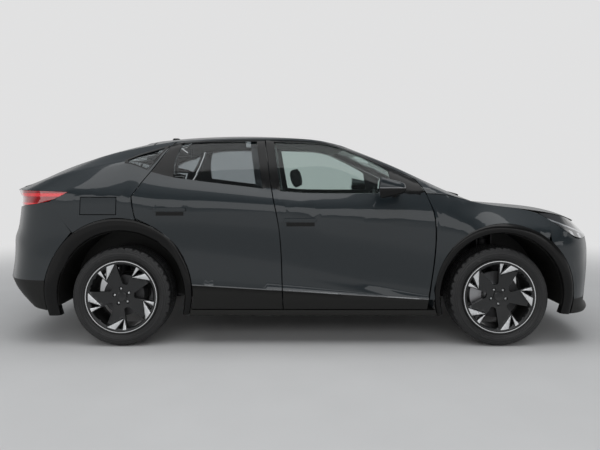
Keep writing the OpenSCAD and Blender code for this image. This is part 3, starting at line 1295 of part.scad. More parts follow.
module steering_wheel() {
    color(black) translate(steer_at) rotate([0, -steer_tilt, 0]) difference() {
        union() {
            rotate_extrude() translate([175, 10]) circle(15, $fn = 24);
            translate([0, 0, -16]) cylinder(r = 58, h = 34);
            for (a = [0, 90, -90]) rotate([0, 0, 180 + a]) translate([40, -16, 0]) cube([128, 32, 14]);
        }
        translate([0, 0, -20]) cylinder(r = 12 + run_gap, h = 24);
    }
}

// Mirrors on the front doors

module mirror_housing() {
    x = xf - 775;
    z = up(1166);
    foot = skin(x + 60, up(1128));
    color(paint) {
        hull() {
            translate([x - 108, hw + 40, z - 4]) scale([0.3, 1, 1]) sphere(66, $fn = 16);
            translate([x - 108, hw + 92, z - 4]) scale([0.3, 0.4, 1]) sphere(76, $fn = 16);
            translate([x + 30, hw + 50, z - 8]) sphere(46, $fn = 16);
        }
        hull() {
            translate([x - 10, hw + 20, z - 62]) rotate([-60, 0, 0]) cylinder(r = 22, h = 20, $fn = 16);
            translate([foot[0] - 20, foot[1] + seat_gap + 9.2, foot[2] - 6]) rotate([-90, 0, 0])
                cylinder(r = 18, h = 10, $fn = 16);
        }
    }
}

module mirror_left() {
    mirror_housing();
}

module mirror_right() {
    side(false) mirror_housing();
}

// Hinge pins of doors and tailgate

module door_hinges() {
    color(steel) both() {
        door_hinge(front_hinge, post_y);
        door_hinge(rear_hinge, pillar_y);
        gate_bracket();
    }
}

module gate_bracket() {
    y0 = gate_hinge_y + 40;
    under = [for (r = [0 : 2]) [for (c = [6 : 9]) roof_inner[r][c] - [0, 0, seat_gap]]];
    difference() {
        box([gate_hinge[0] + 140, y0, gate_hinge[1] - 70], [gate_hinge[0] + 168, y0 + 18, gate_hinge[1]
            + 90]);
        panel(sunk(under, [0, 0, 200]), under, turn = 0);
    }
    box([gate_hinge[0] - 12, y0, gate_hinge[1] - 70], [gate_hinge[0] + 168, y0 + 18, gate_hinge[1] - 52]);
    box([gate_hinge[0] - 12, y0, gate_hinge[1] - 70], [gate_hinge[0] + 3, y0 + 18, gate_hinge[1] + 2]);
    translate([gate_hinge[0], gate_hinge_y - 6, gate_hinge[1]]) rotate([-90, 0, 0]) cylinder(r = pin_r,
        h = 54);
}

floor_pan();
battery_pack();
side_frames();
bulkhead();
front_frame();
roof_panel();
windscreen();
front_wings();
quarter_panels();
quarter_glasses();
front_bumper();
front_grille();
rear_bumper();
rear_diffuser();
headlamps();
tail_lamps();
arch_cladding();
sill_cladding();
wheel_liners();
front_arms();
rear_axle();
rear_motor();
front_seats();
rear_bench();
dashboard();
door_hinges();
charge_bowl();
bonnet();
tailgate();
tailgate_glass();
steering_wheel();
charge_flap();
door_front_left();
door_front_right();
door_rear_left();
door_rear_right();
glass_front_left();
glass_front_right();
glass_rear_left();
glass_rear_right();
mirror_left();
mirror_right();
knuckle_left();
knuckle_right();
tyre_front_left();
tyre_front_right();
tyre_rear_left();
tyre_rear_right();
rim_front_left();
rim_front_right();
rim_rear_left();
rim_rear_right();
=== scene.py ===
import json
import math

import bpy
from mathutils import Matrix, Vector

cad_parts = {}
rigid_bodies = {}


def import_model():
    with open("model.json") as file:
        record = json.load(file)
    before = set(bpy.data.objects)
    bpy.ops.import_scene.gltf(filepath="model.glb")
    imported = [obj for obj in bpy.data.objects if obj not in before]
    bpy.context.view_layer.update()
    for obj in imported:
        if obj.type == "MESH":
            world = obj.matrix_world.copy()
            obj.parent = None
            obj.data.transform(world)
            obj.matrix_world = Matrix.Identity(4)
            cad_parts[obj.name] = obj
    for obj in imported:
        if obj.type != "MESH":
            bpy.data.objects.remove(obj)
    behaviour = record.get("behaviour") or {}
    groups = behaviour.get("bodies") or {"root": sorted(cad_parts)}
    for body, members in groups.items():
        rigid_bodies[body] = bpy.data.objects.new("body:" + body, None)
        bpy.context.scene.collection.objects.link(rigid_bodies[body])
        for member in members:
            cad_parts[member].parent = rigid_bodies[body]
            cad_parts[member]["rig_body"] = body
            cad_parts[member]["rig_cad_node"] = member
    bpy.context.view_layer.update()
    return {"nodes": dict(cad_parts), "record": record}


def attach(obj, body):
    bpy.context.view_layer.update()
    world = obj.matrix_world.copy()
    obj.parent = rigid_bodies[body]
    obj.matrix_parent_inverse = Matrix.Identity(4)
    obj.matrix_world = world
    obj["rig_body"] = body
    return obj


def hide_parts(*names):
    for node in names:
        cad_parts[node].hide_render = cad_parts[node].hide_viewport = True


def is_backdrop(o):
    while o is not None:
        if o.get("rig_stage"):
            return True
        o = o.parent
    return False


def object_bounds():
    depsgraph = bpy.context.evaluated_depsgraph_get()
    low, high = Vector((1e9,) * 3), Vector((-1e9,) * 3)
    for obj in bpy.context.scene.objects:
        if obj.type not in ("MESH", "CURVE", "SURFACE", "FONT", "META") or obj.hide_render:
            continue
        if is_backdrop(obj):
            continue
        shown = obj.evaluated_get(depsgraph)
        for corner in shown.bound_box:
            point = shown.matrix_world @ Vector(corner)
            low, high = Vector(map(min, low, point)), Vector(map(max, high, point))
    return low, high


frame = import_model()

nodes = frame["nodes"]
bodyOf = {n: b for b, members in frame["record"]["behaviour"]["bodies"].items() for n in members}
print("frame loaded:", len(nodes), "nodes")

# camera and studio

shot = {"place": (-0.0065, -4.582, 1.216), "lens": 30.27, "sensor": 36, "shiftY": -0.075, "clipEnd": 200}

bpy.ops.object.select_all(action="DESELECT")
bpy.ops.object.camera_add(location=shot["place"], rotation=(math.pi / 2, 0, 0))
camera = bpy.context.object
camera.name = "shotCamera"
camera.data.lens = shot["lens"]
camera.data.sensor_width = shot["sensor"]
camera.data.shift_y = shot["shiftY"]
camera.data.clip_end = shot["clipEnd"]
bpy.context.scene.camera = camera
bpy.context.scene.view_settings.view_transform = "Standard"

studio = {"floorHalf": 60, "floorColour": (0.62, 0.62, 0.62), "floorFleck": (0.57, 0.57, 0.57),
          "fleckScale": 2.0, "floorRough": 0.9, "floorShine": 0.1, "fade": (3.0, 7.5), "roomDepth": (-0.45, 0.1),
          "wall": (0.753, 0.753, 0.756), "upperWall": (0.16, 0.17, 0.18), "ceiling": (0.42, 0.44, 0.46),
          "nearWall": (0.075, 0.080, 0.085)}
roomBands = {"near": ((0.0, "wall"), (0.10, "wall"), (0.22, "nearWall"), (0.55, "nearWall"), (0.86, "ceiling")),
             "far": ((0.0, "wall"), (0.37, "wall"), (0.5, "upperWall"), (0.72, "upperWall"), (0.86, "ceiling"))}
lamps = {"overheadSoftbox": {"place": (0, -1.5, 6.0), "aim": (0, 0, 0.5), "size": (9, 5), "power": 250},
         "sideStrip": {"place": (-0.6, -6.2, 3.0), "aim": (-0.2, -0.9, 0.9), "size": (18, 1.7), "power": 150}}


def makeFloor():
    bpy.ops.mesh.primitive_plane_add(size=2 * studio["floorHalf"], location=(0, 0, 0))
    floor = bpy.context.object
    floor.name = "studioFloor"
    mat = bpy.data.materials.new("paleFloor")
    mat.use_nodes = True
    tree = mat.node_tree
    shader = tree.nodes["Principled BSDF"]
    shader.inputs["Roughness"].default_value = studio["floorRough"]
    shader.inputs["Specular IOR Level"].default_value = studio["floorShine"]
    place = tree.nodes.new("ShaderNodeTexCoord")
    grain = tree.nodes.new("ShaderNodeTexNoise")
    grain.inputs["Scale"].default_value = studio["fleckScale"]
    tint = tree.nodes.new("ShaderNodeMix")
    tint.data_type = "RGBA"
    tint.inputs["A"].default_value = (*studio["floorColour"], 1)
    tint.inputs["B"].default_value = (*studio["floorFleck"], 1)
    tree.links.new(place.outputs["Object"], grain.inputs["Vector"])
    tree.links.new(grain.outputs["Fac"], tint.inputs["Factor"])
    tree.links.new(tint.outputs["Result"], shader.inputs["Base Color"])
    reach = tree.nodes.new("ShaderNodeVectorMath")  # the floor sweeps up into the wall
    reach.operation = "LENGTH"
    sweep = tree.nodes.new("ShaderNodeMapRange")
    sweep.interpolation_type = "SMOOTHSTEP"
    sweep.inputs["From Min"].default_value, sweep.inputs["From Max"].default_value = studio["fade"]
    wall = tree.nodes.new("ShaderNodeEmission")
    wall.inputs["Color"].default_value = (*studio["wall"], 1)
    join = tree.nodes.new("ShaderNodeMixShader")
    tree.links.new(place.outputs["Object"], reach.inputs[0])
    tree.links.new(reach.outputs["Value"], sweep.inputs["Value"])
    tree.links.new(sweep.outputs["Result"], join.inputs["Fac"])
    tree.links.new(shader.outputs["BSDF"], join.inputs[1])
    tree.links.new(wall.outputs["Emission"], join.inputs[2])
    tree.links.new(join.outputs["Shader"], tree.nodes["Material Output"].inputs["Surface"])
    floor.data.materials.append(mat)
    floor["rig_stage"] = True


def makeSky():
    world = bpy.data.worlds.new("studioRoom")
    bpy.context.scene.world = world
    world.use_nodes = True
    tree = world.node_tree
    back = tree.nodes["Background"]
    place = tree.nodes.new("ShaderNodeTexCoord")
    split = tree.nodes.new("ShaderNodeSeparateXYZ")
    rooms = []
    for bands in (roomBands["near"], roomBands["far"]):
        ramp = tree.nodes.new("ShaderNodeValToRGB")
        stops = ramp.color_ramp.elements
        while len(stops) < len(bands):
            stops.new(1.0)
        for stop, (height, colour) in zip(stops, bands):
            stop.position = height
            stop.color = (*studio[colour], 1)
        tree.links.new(split.outputs["Z"], ramp.inputs["Fac"])
        rooms.append(ramp)
    depth = tree.nodes.new("ShaderNodeMapRange")  # dim room behind the camera, pale wall behind the car
    depth.interpolation_type = "SMOOTHSTEP"
    depth.inputs["From Min"].default_value, depth.inputs["From Max"].default_value = studio["roomDepth"]
    blend = tree.nodes.new("ShaderNodeMix")
    blend.data_type = "RGBA"
    tree.links.new(place.outputs["Generated"], split.inputs["Vector"])
    tree.links.new(split.outputs["Y"], depth.inputs["Value"])
    tree.links.new(depth.outputs["Result"], blend.inputs["Factor"])
    tree.links.new(rooms[0].outputs["Color"], blend.inputs["A"])
    tree.links.new(rooms[1].outputs["Color"], blend.inputs["B"])
    tree.links.new(blend.outputs["Result"], back.inputs["Color"])
    back.inputs["Strength"].default_value = 1.0


def makeLamp(name, settings):
    bpy.ops.object.light_add(type="AREA", location=settings["place"])
    lamp = bpy.context.object
    lamp.name = name
    lamp.data.shape = "RECTANGLE"
    lamp.data.size, lamp.data.size_y = settings["size"]
    lamp.data.energy = settings["power"]
    aim = Vector(settings["aim"]) - Vector(settings["place"])
    lamp.rotation_euler = aim.to_track_quat("-Z", "Y").to_euler()


makeFloor()
makeSky()
for lampName, lampSettings in lamps.items():
    makeLamp(lampName, lampSettings)
print("studio ready")

# materials


def newMaterial(name):
    mat = bpy.data.materials.new(name)
    mat.use_nodes = True
    tree = mat.node_tree
    return mat, tree, tree.nodes["Principled BSDF"]


def setSockets(shader, settings):
    for socket, value in settings.items():
        shader.inputs[socket].default_value = value


def noiseOn(tree, scale, detail=2.0):
    place = tree.nodes.new("ShaderNodeTexCoord")
    noise = tree.nodes.new("ShaderNodeTexNoise")
    noise.inputs["Scale"].default_value = scale
    noise.inputs["Detail"].default_value = detail
    tree.links.new(place.outputs["Object"], noise.inputs["Vector"])
    return noise.outputs["Fac"]


def mixColours(tree, factor, low, high):
    mix = tree.nodes.new("ShaderNodeMix")
    mix.data_type = "RGBA"
    mix.inputs["A"].default_value = (*low, 1)
    mix.inputs["B"].default_value = (*high, 1)
    tree.links.new(factor, mix.inputs["Factor"])
    return mix.outputs["Result"]


def remap(tree, value, low, high, start=0.0, end=1.0):
    ranger = tree.nodes.new("ShaderNodeMapRange")
    for socket, number in (("From Min", start), ("From Max", end), ("To Min", low), ("To Max", high)):
        ranger.inputs[socket].default_value = number
    tree.links.new(value, ranger.inputs["Value"])
    return ranger.outputs["Result"]


def mathOn(tree, operation, first, second):
    node = tree.nodes.new("ShaderNodeMath")
    node.operation = operation
    for socket, value in zip(node.inputs, (first, second)):
        if isinstance(value, (int, float)):
            socket.default_value = value
        else:
            tree.links.new(value, socket)
    return node.outputs["Value"]


def bumpFrom(tree, shader, height, strength, distance):
    bump = tree.nodes.new("ShaderNodeBump")
    bump.inputs["Strength"].default_value = strength
    bump.inputs["Distance"].default_value = distance
    tree.links.new(height, bump.inputs["Height"])
    tree.links.new(bump.outputs["Normal"], shader.inputs["Normal"])


def grained(name, low, high, scale, rough, sockets=None, bump=0.0, distance=0.0005):
    mat, tree, shader = newMaterial(name)
    setSockets(shader, sockets or {})
    grain = noiseOn(tree, scale)
    tree.links.new(mixColours(tree, grain, low, high), shader.inputs["Base Color"])
    tree.links.new(remap(tree, grain, *rough), shader.inputs["Roughness"])
    if bump:
        bumpFrom(tree, shader, grain, bump, distance)
    return mat


def seeThrough(name, tint, sockets):
    mat, tree, shader = newMaterial(name)
    setSockets(shader, sockets)
    path = tree.nodes.new("ShaderNodeLightPath")
    clear = tree.nodes.new("ShaderNodeBsdfTransparent")
    clear.inputs["Color"].default_value = (*tint, 1)
    mix = tree.nodes.new("ShaderNodeMixShader")
    out = tree.nodes["Material Output"]
    tree.links.new(path.outputs["Is Shadow Ray"], mix.inputs["Fac"])
    tree.links.new(shader.outputs["BSDF"], mix.inputs[1])
    tree.links.new(clear.outputs["BSDF"], mix.inputs[2])
    tree.links.new(mix.outputs["Shader"], out.inputs["Surface"])
    return mat


paintLook = {"low": (0.0095, 0.0140, 0.0168), "high": (0.0140, 0.0200, 0.0240), "fleck": 1400,
             "rough": (0.32, 0.42), "sockets": {"Metallic": 0.1, "Coat Roughness": 0.03, "Coat IOR": 1.4},
             "coat": (1.0, 0.22), "coatFade": (0.72, 0.97), "shine": 0.2}


def bodyPaint(name):
    mat = grained(name, paintLook["low"], paintLook["high"], paintLook["fleck"], paintLook["rough"],
                  paintLook["sockets"])
    tree = mat.node_tree
    shader = tree.nodes["Principled BSDF"]
    facing = tree.nodes.new("ShaderNodeLayerWeight")
    facing.inputs["Blend"].default_value = 0.5
    coat = remap(tree, facing.outputs["Facing"], *paintLook["coat"], *paintLook["coatFade"])  # dark at flat angles
    tree.links.new(coat, shader.inputs["Coat Weight"])
    tree.links.new(mathOn(tree, "MULTIPLY", coat, paintLook["shine"]), shader.inputs["Specular IOR Level"])
    return mat


slatePaint = bodyPaint("slatePaint")
glossBlack = grained("glossBlack", (0.004, 0.004, 0.004), (0.007, 0.007, 0.007), 500, (0.12, 0.2),
                     {"Specular IOR Level": 0.22})
grainBlack = grained("grainBlack", (0.006, 0.006, 0.0055), (0.011, 0.011, 0.010), 700, (0.42, 0.58),
                     {"Specular IOR Level": 0.3}, 0.25, 0.0004)
sillBlack = grained("sillBlack", (0.010, 0.010, 0.009), (0.018, 0.018, 0.016), 500, (0.35, 0.5),
                    {"Specular IOR Level": 0.35}, 0.2, 0.0004)
cabinPlastic = grained("cabinPlastic", (0.012, 0.012, 0.013), (0.02, 0.02, 0.021), 600, (0.55, 0.7),
                       None, 0.3, 0.0004)
doorTrim = grained("doorTrim", (0.018, 0.018, 0.019), (0.03, 0.03, 0.031), 450, (0.55, 0.75),
                   None, 0.35, 0.0005)
headliner = grained("headliner", (0.20, 0.20, 0.195), (0.26, 0.26, 0.25), 800, (0.85, 0.95),
                    None, 0.5, 0.0008)
rawSteel = grained("rawSteel", (0.05, 0.05, 0.052), (0.09, 0.09, 0.092), 60, (0.45, 0.6),
                   {"Metallic": 0.8})
castGrey = grained("castGrey", (0.32, 0.32, 0.33), (0.45, 0.45, 0.46), 300, (0.35, 0.5),
                   {"Metallic": 0.9}, 0.2, 0.0005)
rimDark = grained("rimDark", (0.012, 0.0125, 0.013), (0.018, 0.019, 0.020), 900, (0.24, 0.34),
                  {"Metallic": 0.5, "Coat Weight": 0.5, "Coat Roughness": 0.1})
rimBlack = grained("rimBlack", (0.006, 0.006, 0.006), (0.01, 0.01, 0.01), 600, (0.4, 0.55))
rimSilver = grained("rimSilver", (0.70, 0.71, 0.72), (0.82, 0.83, 0.84), 700, (0.30, 0.42),
                    {"Metallic": 0.6})
brightTrim = grained("brightTrim", (0.16, 0.165, 0.17), (0.22, 0.225, 0.23), 500, (0.2, 0.32),
                     {"Metallic": 0.8})
mirrorGlass = grained("mirrorGlass", (0.75, 0.77, 0.78), (0.8, 0.82, 0.83), 200, (0.02, 0.04),
                      {"Metallic": 1.0})
lampHousing = grained("lampHousing", (0.010, 0.010, 0.011), (0.020, 0.020, 0.022), 50, (0.06, 0.12),
                      {"Coat Weight": 1.0, "Coat Roughness": 0.02})
lampChrome = grained("lampChrome", (0.62, 0.63, 0.65), (0.74, 0.75, 0.77), 300, (0.12, 0.22),
                     {"Metallic": 0.85})
lampRed = grained("lampRed", (0.22, 0.006, 0.010), (0.34, 0.012, 0.016), 60, (0.06, 0.14),
                  {"Coat Weight": 1.0, "Coat Roughness": 0.02})
lampGlow = grained("lampGlow", (0.72, 0.022, 0.03), (0.90, 0.05, 0.06), 80, (0.1, 0.2),
                   {"Coat Weight": 0.6})
bootCarpet = grained("bootCarpet", (0.016, 0.016, 0.017), (0.032, 0.032, 0.033), 900, (0.9, 0.98),
                     {"Sheen Weight": 0.3}, 0.8, 0.0015)
stitchedLeather = grained("stitchedLeather", (0.014, 0.014, 0.015), (0.026, 0.026, 0.027), 350, (0.5, 0.65),
                          None, 0.4, 0.0006)
screenGlass = grained("screenGlass", (0.003, 0.003, 0.004), (0.006, 0.006, 0.008), 40, (0.05, 0.1),
                      {"Coat Weight": 1.0})
paneSockets = {"Transmission Weight": 1.0, "Roughness": 0.0, "IOR": 1.3}
clearGlass = seeThrough("clearGlass", (0.62, 0.70, 0.68), {"Base Color": (0.60, 0.67, 0.65, 1), **paneSockets})
tintGlass = seeThrough("tintGlass", (0.5, 0.54, 0.55), {"Base Color": (0.46, 0.49, 0.50, 1), **paneSockets})


wheelLook = {"frontX": 1.452, "rearX": -1.314, "track": 0.785, "axleZ": 0.362}
tyreLook = {"low": (0.010, 0.010, 0.0105), "high": (0.019, 0.019, 0.0195), "dust": 30, "rough": (0.34, 0.5),
            "shine": 0.5, "ringPitch": 0.013, "ringEdge": (0.2, 0.9), "blocks": 72, "slant": 60,
            "blockEdge": (-0.9, -0.6), "treadR": (0.342, 0.344), "relief": (0.7, 0.0035)}


def tyreRubber(name, wheelX):
    mat, tree, shader = newMaterial(name)
    setSockets(shader, {"Specular IOR Level": tyreLook["shine"]})
    place = tree.nodes.new("ShaderNodeTexCoord")
    centre = tree.nodes.new("ShaderNodeMapping")
    centre.inputs["Location"].default_value = (-wheelX, 0, -wheelLook["axleZ"])
    tree.links.new(place.outputs["Object"], centre.inputs["Vector"])
    split = tree.nodes.new("ShaderNodeSeparateXYZ")
    tree.links.new(centre.outputs["Vector"], split.inputs["Vector"])
    x, y, z = (split.outputs[k] for k in "XYZ")
    squares = [mathOn(tree, "MULTIPLY", value, value) for value in (x, z)]
    radius = mathOn(tree, "SQRT", mathOn(tree, "ADD", *squares), 0)
    angle = mathOn(tree, "ARCTAN2", z, x)
    rings = mathOn(tree, "SINE", mathOn(tree, "MULTIPLY", radius, 2 * math.pi / tyreLook["ringPitch"]), 0)
    turn = mathOn(tree, "MULTIPLY", angle, tyreLook["blocks"])
    slant = mathOn(tree, "MULTIPLY", y, tyreLook["slant"])
    blocks = mathOn(tree, "SINE", mathOn(tree, "ADD", turn, slant), 0)
    blockEdge = remap(tree, blocks, 0.0, 1.0, *tyreLook["blockEdge"])
    onTread = remap(tree, radius, 0.0, 1.0, *tyreLook["treadR"])
    wallRings = remap(tree, rings, 0.0, 1.0, *tyreLook["ringEdge"])
    relief = tree.nodes.new("ShaderNodeMix")
    tree.links.new(onTread, relief.inputs["Factor"])
    tree.links.new(wallRings, relief.inputs["A"])
    tree.links.new(blockEdge, relief.inputs["B"])
    bumpFrom(tree, shader, relief.outputs["Result"], *tyreLook["relief"])
    dust = noiseOn(tree, tyreLook["dust"])
    tree.links.new(mixColours(tree, dust, tyreLook["low"], tyreLook["high"]), shader.inputs["Base Color"])
    tree.links.new(remap(tree, dust, *tyreLook["rough"]), shader.inputs["Roughness"])
    return mat


rubberFront = tyreRubber("rubberFront", wheelLook["frontX"])
rubberRear = tyreRubber("rubberRear", wheelLook["rearX"])

clothLook = {"low": (0.016, 0.016, 0.017), "high": (0.034, 0.034, 0.036), "grain": 350, "rough": (0.7, 0.9),
             "sheen": 0.2, "shine": 0.25, "threads": 1800, "threadDepth": 0.12, "pleat": 0.07, "seam": 0.35,
             "relief": (0.6, 0.004)}


def sewnCloth(name):
    mat, tree, shader = newMaterial(name)
    setSockets(shader, {"Sheen Weight": clothLook["sheen"], "Specular IOR Level": clothLook["shine"]})
    place = tree.nodes.new("ShaderNodeTexCoord")
    split = tree.nodes.new("ShaderNodeSeparateXYZ")
    tree.links.new(place.outputs["Object"], split.inputs["Vector"])
    x, y, z = (split.outputs[k] for k in "XYZ")
    waveOn = lambda value, pitch: mathOn(tree, "SINE", mathOn(tree, "MULTIPLY", value, pitch), 0)
    acrossThreads = waveOn(y, clothLook["threads"])
    alongThreads = waveOn(mathOn(tree, "ADD", x, z), clothLook["threads"])
    weave = mathOn(tree, "MULTIPLY", acrossThreads, alongThreads)
    pleat = mathOn(tree, "ABSOLUTE", waveOn(y, math.pi / clothLook["pleat"]), 0)
    channel = remap(tree, pleat, 0.0, 1.0, 0.0, clothLook["seam"])
    height = mathOn(tree, "ADD", mathOn(tree, "MULTIPLY", weave, clothLook["threadDepth"]), channel)
    grain = noiseOn(tree, clothLook["grain"])
    tree.links.new(mixColours(tree, grain, clothLook["low"], clothLook["high"]), shader.inputs["Base Color"])
    tree.links.new(remap(tree, grain, *clothLook["rough"]), shader.inputs["Roughness"])
    bumpFrom(tree, shader, height, *clothLook["relief"])
    return mat


seatCloth = sewnCloth("seatCloth")

finishes = {
    "floor_pan": rawSteel, "battery_pack": rawSteel, "side_frames": slatePaint, "bulkhead": rawSteel,
    "front_frame": rawSteel, "roof_panel": slatePaint, "windscreen": clearGlass, "front_wings": slatePaint,
    "quarter_panels": slatePaint, "quarter_glasses": tintGlass, "front_bumper": slatePaint,
    "front_grille": grainBlack, "rear_bumper": slatePaint, "rear_diffuser": grainBlack,
    "headlamps": lampHousing, "tail_lamps": lampRed, "arch_cladding": glossBlack, "sill_cladding": sillBlack,
    "wheel_liners": grainBlack, "front_arms": rawSteel, "rear_axle": rawSteel, "rear_motor": castGrey,
    "front_seats": seatCloth, "rear_bench": seatCloth, "dashboard": cabinPlastic, "door_hinges": rawSteel,
    "charge_bowl": cabinPlastic, "bonnet": slatePaint, "tailgate": slatePaint, "tailgate_glass": tintGlass,
    "steering_wheel": stitchedLeather, "charge_flap": slatePaint,
}
for sideName in ("left", "right"):
    finishes["mirror_" + sideName] = slatePaint
    finishes["knuckle_" + sideName] = castGrey
    for end in ("front", "rear"):
        finishes[f"door_{end}_{sideName}"] = slatePaint
        finishes[f"glass_{end}_{sideName}"] = clearGlass if end == "front" else tintGlass
        finishes[f"tyre_{end}_{sideName}"] = rubberFront if end == "front" else rubberRear
        finishes[f"rim_{end}_{sideName}"] = rimDark


def giveFinish(obj, mat):
    obj.data.materials.clear()
    obj.data.materials.append(mat)


for nodeName, mat in finishes.items():
    giveFinish(nodes[nodeName], mat)
print("finishes given to", len(finishes), "nodes")

# shared modelling steps

mergeGap = 0.00004  # joins the loose triangles of a CAD mesh
trimSmooth = math.radians(35)


def soloSelect(obj):
    bpy.ops.object.select_all(action="DESELECT")
    obj.select_set(True)
    bpy.context.view_layer.objects.active = obj


def looseCopy(nodeName, pieceName):
    soloSelect(nodes[nodeName])
    bpy.ops.object.duplicate()
    piece = bpy.context.object
    piece.name = pieceName
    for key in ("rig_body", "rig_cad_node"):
        if key in piece:
            del piece[key]
    piece.parent = None
    bpy.ops.object.mode_set(mode="EDIT")
    bpy.ops.mesh.select_all(action="SELECT")
    bpy.ops.mesh.remove_doubles(threshold=mergeGap)
    bpy.ops.object.mode_set(mode="OBJECT")
    return piece


def selectFaces(piece, test):
    soloSelect(piece)
    bpy.ops.object.mode_set(mode="EDIT")
    bpy.ops.mesh.select_mode(type="FACE")
    bpy.ops.mesh.select_all(action="DESELECT")
    bpy.ops.object.mode_set(mode="OBJECT")
    for face in piece.data.polygons:
        face.select = test(face.center, face.normal)
    bpy.ops.object.mode_set(mode="EDIT")


def paintFaces(piece, mat, test):
    names = [m.name for m in piece.data.materials]
    if mat.name not in names:
        piece.data.materials.append(mat)
        names.append(mat.name)
    index = names.index(mat.name)
    for face in piece.data.polygons:
        if test(face.center, face.normal):
            face.material_index = index


def cutAlong(piece, point, normal):
    soloSelect(piece)
    bpy.ops.object.mode_set(mode="EDIT")
    bpy.ops.mesh.select_all(action="SELECT")
    bpy.ops.mesh.bisect(plane_co=point, plane_no=normal, use_fill=False, clear_inner=False, clear_outer=False)
    bpy.ops.object.mode_set(mode="OBJECT")


def refinedPanel(nodeName, settings):
    piece = looseCopy(nodeName, settings["name"])
    bpy.ops.object.mode_set(mode="EDIT")
    bpy.ops.mesh.select_all(action="SELECT")
    bpy.ops.mesh.tris_convert_to_quads(face_threshold=settings["flat"], shape_threshold=settings["square"])
    bpy.ops.mesh.select_mode(type="EDGE")
    bpy.ops.mesh.select_all(action="DESELECT")
    bpy.ops.mesh.edges_select_sharp(sharpness=settings["sharp"])
    bpy.ops.transform.edge_crease(value=1.0)
    bpy.ops.object.mode_set(mode="OBJECT")
    soften = piece.modifiers.new("soften", "SUBSURF")
    soften.levels = soften.render_levels = settings["levels"]
    bpy.ops.object.modifier_apply(modifier="soften")
    bpy.ops.object.shade_smooth_by_angle(angle=settings["sharp"])
    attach(piece, bodyOf[nodeName])
    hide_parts(nodeName)
    return piece


def seated(piece, body, mat=None):
    if mat:
        giveFinish(piece, mat)
    soloSelect(piece)
    bpy.ops.object.transform_apply(location=True, rotation=True, scale=True)
    bpy.ops.object.shade_smooth_by_angle(angle=trimSmooth)
    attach(piece, body)


def blockAt(name, centre, half):
    bpy.ops.object.select_all(action="DESELECT")
    bpy.ops.mesh.primitive_cube_add(size=2, location=centre)
    block = bpy.context.object
    block.name = name
    block.scale = half
    bpy.ops.object.transform_apply(location=True, rotation=True, scale=True)
    return block


def blockBetween(name, spans):
    return blockAt(name, [(a + b) / 2 for a, b in spans], [(b - a) / 2 for a, b in spans])


def roundEdges(block, width, steps=3):
    edge = block.modifiers.new("edge", "BEVEL")
    edge.width = width
    edge.segments = steps
    soloSelect(block)
    bpy.ops.object.modifier_apply(modifier="edge")


def thicken(piece, thickness, offset):
    fill = piece.modifiers.new("thick", "SOLIDIFY")
    fill.thickness = thickness
    fill.offset = offset
    bpy.ops.object.modifier_apply(modifier="thick")


# rubber surround of the fixed quarter glasses

surroundLook = {"spread": 1.19, "thick": 0.014}


def quarterSurround():
    ring = looseCopy("quarter_glasses", "quarterSurround")
    selectFaces(ring, lambda c, n: n.y * c.y < 0.5 * abs(c.y))
    bpy.ops.mesh.delete(type="FACE")
    bpy.ops.object.mode_set(mode="OBJECT")
    paneCount = len(ring.data.vertices)
    for side in (1, -1):
        corners = [v.co for v in ring.data.vertices if v.co.y * side > 0]
        middle = sum(corners, Vector()) / len(corners)
        selectFaces(ring, lambda c, n: c.y * side > 0)
        bpy.ops.mesh.region_to_loop()
        bpy.ops.mesh.extrude_edges_move(TRANSFORM_OT_translate={"value": (0, 0, 0)})
        bpy.ops.transform.resize(value=(surroundLook["spread"],) * 3, center_override=middle)
        bpy.ops.object.mode_set(mode="OBJECT")
    paneFaces = {f.index for f in ring.data.polygons if max(f.vertices) < paneCount}
    bpy.ops.object.mode_set(mode="EDIT")
    bpy.ops.mesh.select_mode(type="FACE")
    bpy.ops.mesh.select_all(action="DESELECT")
    bpy.ops.object.mode_set(mode="OBJECT")
    for index in paneFaces:
        ring.data.polygons[index].select = True
    bpy.ops.object.mode_set(mode="EDIT")
    bpy.ops.mesh.delete(type="FACE")
    bpy.ops.mesh.select_all(action="SELECT")
    bpy.ops.mesh.normals_make_consistent(inside=False)
    bpy.ops.object.mode_set(mode="OBJECT")
    print("quarter surround faces:", len(ring.data.polygons))
    thicken(ring, surroundLook["thick"], 0)
    seated(ring, "body", glossBlack)


quarterSurround()

# panels refined from their solids

panelStyle = {"flat": math.radians(40), "square": math.radians(60), "sharp": math.radians(28), "levels": 1}
mirrorStyle = {**panelStyle, "sharp": math.radians(75), "levels": 2}
panelNodes = ["roof_panel", "front_wings", "quarter_panels", "front_bumper", "rear_bumper", "bonnet",
              "tailgate", "door_front_left", "door_front_right", "door_rear_left", "door_rear_right",
              "mirror_left", "mirror_right", "rear_diffuser", "front_grille", "arch_cladding",
              "sill_cladding", "charge_flap", "headlamps", "tail_lamps", "windscreen", "tailgate_glass",
              "quarter_glasses", "glass_front_left", "glass_front_right", "glass_rear_left",
              "glass_rear_right", "side_frames"]
skins = {}
for nodeName in panelNodes:
    style = mirrorStyle if nodeName.startswith("mirror") else panelStyle
    skins[nodeName] = refinedPanel(nodeName, {"name": nodeName + "Skin", **style})
print("panels refined:", len(panelNodes))

# doors: black window frames, dark cladding under a bright blade, handle slots painted flat as shade, trim inside

doorLook = {"belt": ((1.061, 1.109), (-0.009, 1.120), (-0.319, 1.156), (-0.946, 1.235), (-1.084, 1.274),
                     (-1.308, 1.346)), "inner": -0.35, "cladLap": 0.002, "frameLap": 0.004,
            "bladeStart": (1.0, 0.342), "bladeEnd": (-0.834, 0.454), "bladeHeight": 0.007, "bladeOut": 0.003,
            "paintedSlotShade": {"front": (-0.105, 0.10, 0.880, 0.9065), "rear": (-1.05, -0.85, 0.958, 0.9845)}}


def beltAt(x):
    line = doorLook["belt"]
    for (xa, za), (xb, zb) in zip(line, line[1:]):
        if x >= xb:
            return za + (zb - za) * (x - xa) / (xb - xa)
    return line[-1][1]


